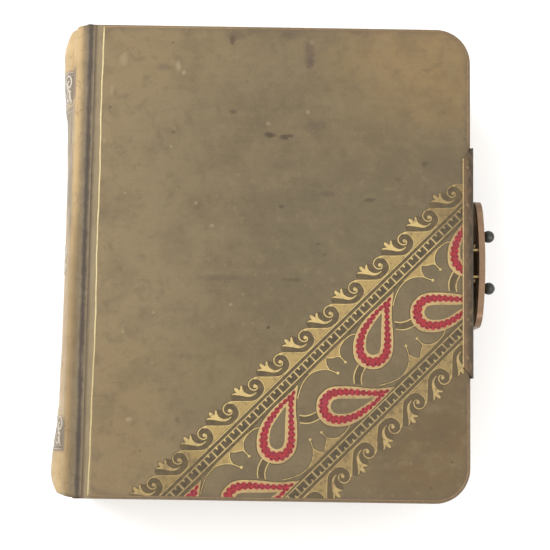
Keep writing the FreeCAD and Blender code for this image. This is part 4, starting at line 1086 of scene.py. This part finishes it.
def band_scrolls(v0, v1):
    st = []
    mid = (v0 + v1) / 2
    for side in (0, 1):
        for j, pc in enumerate((0.16, 0.34, 0.5)):
            ph = pc if side == 0 else 1 - pc
            if side == 1 and j == 2:
                continue
            sg = 1 if side == 0 else -1
            st.append((spiral_path((ph, mid + 2.2), 2.7, 0.35, 1.3, 0.4, sg), 0.95))
            st.append((spiral_path((ph + 0.02 * sg, mid - 2.4), 2.5, 0.35, 1.2, 2.6, -sg), 0.85))
            st.append(([(ph - 0.07 * sg, v0 + 1.0), (ph - 0.03 * sg, v0 + 2.0), (ph, mid - 0.4), (ph + 0.05 * sg, mid + 0.6), (ph + 0.08 * sg, v1 - 1.6)], 1.1))
    for v in (v0, v1):
        st.append(([(0.03 + 0.94 * i / 40, v) for i in range(41)], 0.42))
        st.append(([(0.03 + 0.94 * i / 40, v + (0.9 if v == v0 else -0.9)) for i in range(41)], 0.26))
    return st


MAT["silver"] = gold_mat("spine_tooling", (1.0, 0.93, 0.86), (0.80, 0.72, 0.62), (0.42, 0.36, 0.30))
spine_stroke("spine_tooling_head", band_scrolls(124.2, 135.2), MAT["silver"])
spine_stroke("spine_tooling_tail", band_scrolls(15.0, 25.8), MAT["silver"])
ctr = []
for sg in (1, -1):
    ctr.append((spiral_path((0.5 - 0.07 * sg, 75.0 + 2.6), 2.6, 0.3, 1.4, 0.3, sg), 0.55))
    ctr.append((spiral_path((0.5 - 0.07 * sg, 75.0 - 2.6), 2.6, 0.3, 1.4, 0.3, -sg), 0.55))
    ctr.append((spiral_path((0.5 - 0.30 * sg, 75.0 + 1.6), 2.2, 0.3, 1.3, 1.0, sg), 0.5))
    ctr.append((spiral_path((0.5 - 0.30 * sg, 75.0 - 2.4), 2.0, 0.3, 1.3, 1.0, -sg), 0.5))
    ctr.append(([(0.5 - 0.20 * sg, 70.2), (0.5 - 0.16 * sg, 72.6), (0.5 - 0.20 * sg, 75), (0.5 - 0.16 * sg, 77.4), (0.5 - 0.20 * sg, 79.8)], 0.6))
spine_stroke("spine_tooling_centre", ctr, MAT["silver"])
frm = []
for v in (27.6, 122.4):
    frm.append(([(0.06 + 0.88 * i / 40, v) for i in range(41)], 0.30))
for ph in (0.06, 0.94):
    frm.append(([(ph, 27.6 + (122.4 - 27.6) * i / 60) for i in range(61)], 0.30))
spine_stroke("spine_panel_frame", frm, MAT["silver"])


# ------------------------------------------------------------------ joint leather, bends between text block and cover
def joint_skin(front):
    prof = [(-3.3, 36.7), (-4.15, 37.35), (-4.95, 38.6), (-4.85, 40.6), (-4.25, 41.45), (-3.3, 41.95), (-2.4, 41.85), (-1.6, 41.45), (-0.9, 41.28), (-0.2, 41.46),
            (0.5, 41.46), (1.15, 41.42), (1.7, 41.50)]
    prof = catmull(prof, 4)
    thick = 0.55
    nv = 120
    verts, faces = [], []
    m = len(prof)
    inner = []
    for i, p in enumerate(prof):
        a, b = prof[max(i - 1, 0)], prof[min(i + 1, m - 1)]
        dx, dz = b[0] - a[0], b[1] - a[1]
        l = math.hypot(dx, dz)
        f = i / (m - 1.0)
        th = thick * (0.3 if f > 0.93 else 1.0)
        inner.append((p[0] + dz / l * th, p[1] - dx / l * th))
    ring = prof + inner[::-1]
    n = len(ring)
    for i in range(nv + 1):
        v = 0.35 + (150 - 0.7) * i / nv
        e = min(v, 150 - v)
        for j, (u, z) in enumerate(ring):
            pull = 0.0
            if e < 5.0 and u < -1.0:
                f = 1 - e / 5.0
                pull = 1.6 * (1 - math.sqrt(max(0, 1 - f * f))) * min(1.0, (-1.0 - u) / 2.0)
            w = mnoise.noise(Vector((u * 0.3, v * 0.08, 3.0))) * 0.10
            zz = min(z - pull + w, TOP - 0.05)
            verts.append((u + pull * 0.5, end_round(u, v), zz if front else TOP - zz))
    for i in range(nv):
        for j in range(n):
            k = (j + 1) % n
            f = (i * n + j, (i + 1) * n + j, (i + 1) * n + k, i * n + k)
            faces.append(f if front else f[::-1])
    e0 = tuple(range(n))
    e1 = tuple(nv * n + k for k in range(n))
    faces.append(e0 if front else e0[::-1])
    faces.append(e1[::-1] if front else e1)
    nm = "front" if front else "back"
    ob = make(nm + "_joint_skin", verts, faces, None, MAT["spine"], True, (nm + "_joint_leather",))
    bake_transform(ob)
    return ob


joint_skin(True)
joint_skin(False)


# ------------------------------------------------------------------ leaves
def sheet_grid(us, zf, y0, y1, th, verts, faces, jit=0.0, rows=4):
    """One thin closed leaf following zf(u) between the two v limits."""
    base = len(verts)
    nu = len(us)
    vs = [y0 + (y1 - y0) * i / rows for i in range(rows + 1)]
    for lay in (0, 1):
        for v in vs:
            for u in us:
                verts.append((u, v, zf(u, v) + (th if lay else 0.0)))
    nv = rows + 1
    off = nu * nv
    for i in range(rows):
        for j in range(nu - 1):
            a = base + i * nu + j
            faces.append((a, a + nu, a + nu + 1, a + 1))
            faces.append((off + a, off + a + 1, off + a + nu + 1, off + a + nu))
        a = base + i * nu
        faces.append((a, off + a, off + a + nu, a + nu))
        a = base + i * nu + nu - 1
        faces.append((a, a + nu, off + a + nu, off + a))
    for j in range(nu - 1):
        a = base + j
        faces.append((a, a + 1, off + a + 1, off + a))
        a = base + rows * nu + j
        faces.append((a, off + a, off + a + 1, a + 1))


g_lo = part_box("gathering_1")[0].z * 1000
g_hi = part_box("gathering_6")[1].z * 1000
zm, zh = (g_lo + g_hi) / 2, (g_hi - g_lo) / 2
BULGE = (U0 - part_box("gathering_3")[0].x) * 1000 - 2.4
for g in range(1, 7):
    lo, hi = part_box("gathering_%d" % g)
    z0, z1 = lo.z * 1000, hi.z * 1000
    verts, faces = [], []
    n = 15
    st = (z1 - z0) / n
    for i in range(n):
        z = z0 + st * i
        t = (z + st / 2 - zm) / zh
        ub = -2.4 - BULGE * (1 - t * t) + R.uniform(-0.1, 0.1)
        uf = 118.0 - 2.4 * (1 - t * t) + R.uniform(-0.28, 0.22)
        a, b = 3.0 + R.uniform(-0.15, 0.25), 147.0 - R.uniform(-0.15, 0.25)
        us = [ub, ub + 3, 20, 60, 100, uf - 3, uf]
        ph = R.uniform(0, 6)
        sheet_grid(us, lambda u, v, z=z, ph=ph: z + 0.02 + 0.035 * math.sin(v * 0.05 + ph) * math.sin(u * 0.04 + ph), a, b, st * 0.80, verts, faces)
    make("leaves_gathering_%d" % g, verts, faces, "text_block", MAT["page"], False, ("gathering_%d" % g,))


def moving_leaves(node, count, name):
    lo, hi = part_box(node)
    z0, z1 = lo.z * 1000, hi.z * 1000
    verts, faces = [], []
    st = (z1 - z0) / count
    us = [-3.0 + 0.45 * i for i in range(20)] + [6.5, 8.5, 12, 20, 40, 60, 80, 100, 110]
    for i in range(count):
        z = z0 + st * i
        uf = 118.0 + R.uniform(-0.3, 0.0)
        a, b = 3.0 + R.uniform(0.0, 0.25), 147.0 - R.uniform(0.0, 0.25)
        drop = 2.2
        sheet_grid(us + [uf], lambda u, v, z=z: z + st * 0.08 - (0.0 if u > 3 else drop * ((3 - u) / 6.0) ** 2 * 0.25), a, b, min(st * 0.78, 0.3), verts, faces, rows=3)
    ob = make(name, verts, faces, None, MAT["page"], False, (node,))
    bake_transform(ob)
    return ob


moving_leaves("front_flyleaf", 1, "flyleaf_sheet")
moving_leaves("front_leaves_1", 4, "leaf_sheets_1")
moving_leaves("front_leaves_2", 4, "leaf_sheets_2")
moving_leaves("front_leaves_3", 5, "leaf_sheets_3")


# endbands: silk worked in two colours over a core
def endband(node, at_head):
    lo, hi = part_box(node)
    u_of = lambda z: -2.4 - BULGE * (1 - ((z - zm) / zh) ** 2)
    v0 = 147.9 if at_head else 2.1
    n = 58
    cols = {0: ([], []), 1: ([], [])}
    za, zb = lo.z * 1000, hi.z * 1000
    for i in range(n):
        z = za + (zb - za) * (i + 0.5) / n
        u = u_of(z) + 0.25
        r = 0.62
        verts, faces = cols[(i // 2) % 2]
        base = len(verts)
        w = (zb - za) / n * 0.56
        m = 10
        for k in range(m):
            a = 2 * math.pi * k / m
            for dz in (-w, -w * 0.5, w * 0.5, w):
                rr = r * (0.86 if abs(dz) == w else 1.0)
                verts.append((u + math.cos(a) * rr * 0.9, v0 + math.sin(a) * rr, z + dz))
        for k in range(m):
            k2 = (k + 1) % m
            for c in range(3):
                faces.append((base + k * 4 + c, base + k * 4 + c + 1, base + k2 * 4 + c + 1, base + k2 * 4 + c))
        faces.append(tuple(base + k * 4 for k in range(m)))
        faces.append(tuple(base + k * 4 + 3 for k in range(m))[::-1])
    for c, nm in ((0, "red"), (1, "cream")):
        verts, faces = cols[c]
        make("%s_%s_silk" % (node, nm), verts, faces, "text_block", MAT["silk_" + nm], True, (node,) if c == 0 else ())


MAT["silk_red"] = simple("silk_red", (0.36, 0.035, 0.035), (0.26, 0.02, 0.025), 1.5, (0.45, 0.6), 0.0, 0.05, 0.5, (1, 1, 6))
MAT["silk_cream"] = simple("silk_cream", (0.62, 0.52, 0.34), (0.52, 0.42, 0.26), 1.5, (0.45, 0.6), 0.0, 0.05, 0.5, (1, 1, 6))
endband("headband", True)
endband("tailband", False)

# ------------------------------------------------------------------ CAD nodes that keep their shape
keep = {
    "front_cover_leather": "front", "back_cover_leather": "back", "front_board": "board", "back_board": "board", "front_pastedown": "paper", "back_pastedown": "paper",
    "back_flyleaf": "page", "spine_liner": "board", "sewing_tapes": "linen", "front_edge_plate": "plate", "back_edge_plate": "plate",
    "front_plate_rivets": "rivet", "back_plate_rivets": "rivet", "keeper_studs": "rivet", "hasp_plate": "hasp", "hasp_backing": "hasp", "hasp_hinge_pin": "steel",
    "upper_knob": "knob", "lower_knob": "knob", "catch_spring": "spring", "spring_rivets": "rivet"}
for node, key in keep.items():
    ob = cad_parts[node]
    ob.data.materials.clear()
    ob.data.materials.append(MAT[key])

# ------------------------------------------------------------------ two fine beads worked round the face of the hasp
def hasp_face():
    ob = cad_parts["hasp_plate"]
    inv = ob.matrix_world.inverted()

    def hit(y, z):
        ok, loc, nor, _ = ob.ray_cast(inv @ Vector((0.09, y / 1000.0, z / 1000.0)), Vector((-1, 0, 0)))
        if not ok:
            return None
        w = (ob.matrix_world @ loc).x * 1000.0
        return w if w > 64.5 else None

    rows = []
    z = 6.5
    while z < 40.4:
        y = 21.0
        while y > 3.0 and hit(y, z) is None:
            y -= 0.1
        if y > 3.0:
            rows.append((z, y))
        z += 0.3
    return hit, rows


hit, rows = hasp_face()
outline = [(y, z) for z, y in rows]
loop = outline + [(-y, z) for y, z in outline[::-1]]
for inset_, r_ in ((1.5, 0.13), (2.3, 0.08)):
    pts_, _ = resample(loop, 0.5)
    n_ = len(pts_)
    sgn_ = 1.0 if area(loop) > 0 else -1.0
    path_ = []
    for i_ in range(n_):
        a_, b_ = pts_[(i_ - 4) % n_], pts_[(i_ + 4) % n_]
        dx_, dy_ = b_[0] - a_[0], b_[1] - a_[1]
        l_ = math.hypot(dx_, dy_) or 1.0
        q_ = (pts_[i_][0] - dy_ / l_ * inset_ * sgn_, pts_[i_][1] + dx_ / l_ * inset_ * sgn_)
        x_ = hit(*q_)
        if x_ is not None:
            path_.append((x_, q_[0], q_[1]))
    verts_, faces_ = [], []
    m_ = len(path_)
    for i_, (x_, y_, z_) in enumerate(path_):
        a_, b_ = Vector(path_[(i_ - 1) % m_]), Vector(path_[(i_ + 1) % m_])
        d_ = (b_ - a_).normalized()
        side_ = d_.cross(Vector((1, 0, 0))).normalized()
        for k_ in range(6):
            an_ = 2 * math.pi * k_ / 6
            o_ = Vector((x_, y_, z_)) + side_ * math.cos(an_) * r_ + Vector((1, 0, 0)) * math.sin(an_) * r_ * 0.7
            verts_.append(tuple(c_ / 1000.0 for c_ in o_))
    for i_ in range(m_ - 1):
        for k_ in range(6):
            faces_.append((i_ * 6 + k_, i_ * 6 + (k_ + 1) % 6, (i_ + 1) * 6 + (k_ + 1) % 6, (i_ + 1) * 6 + k_))
    make("hasp_bead_%d" % int(inset_ * 10), verts_, faces_, "hasp", MAT["hasp"], True, (), False)

# ------------------------------------------------------------------ floor, light, world
me = bpy.data.meshes.new("floor")
me.from_pydata([(-3, -3, 0), (3, -3, 0), (3, 3, 0), (-3, 3, 0)], [], [(0, 1, 2, 3)])
floor = bpy.data.objects.new("floor", me)
bpy.context.scene.collection.objects.link(floor)
fm = Mat("floor_paper")
me.materials.append(fm.set(color=(0.93, 0.93, 0.93), rough=0.9, spec=0.1))

world = bpy.data.worlds.new("world")
bpy.context.scene.world = world
world.use_nodes = True
world.node_tree.nodes["Background"].inputs[0].default_value = (1.0, 1.0, 1.0, 1)
world.node_tree.nodes["Background"].inputs[1].default_value = 1.0


def area_light(name, loc, size, power, target=(0, 0, 0.03)):
    l = bpy.data.lights.new(name, "AREA")
    l.energy = power
    l.size = size
    ob = bpy.data.objects.new(name, l)
    ob.location = loc
    ob.rotation_euler = (Vector(target) - Vector(loc)).to_track_quat("-Z", "Y").to_euler()
    bpy.context.scene.collection.objects.link(ob)


area_light("key", (-0.55, 0.45, 0.75), 0.6, 7.0)
area_light("fill", (0.6, -0.3, 0.8), 0.9, 5.0)
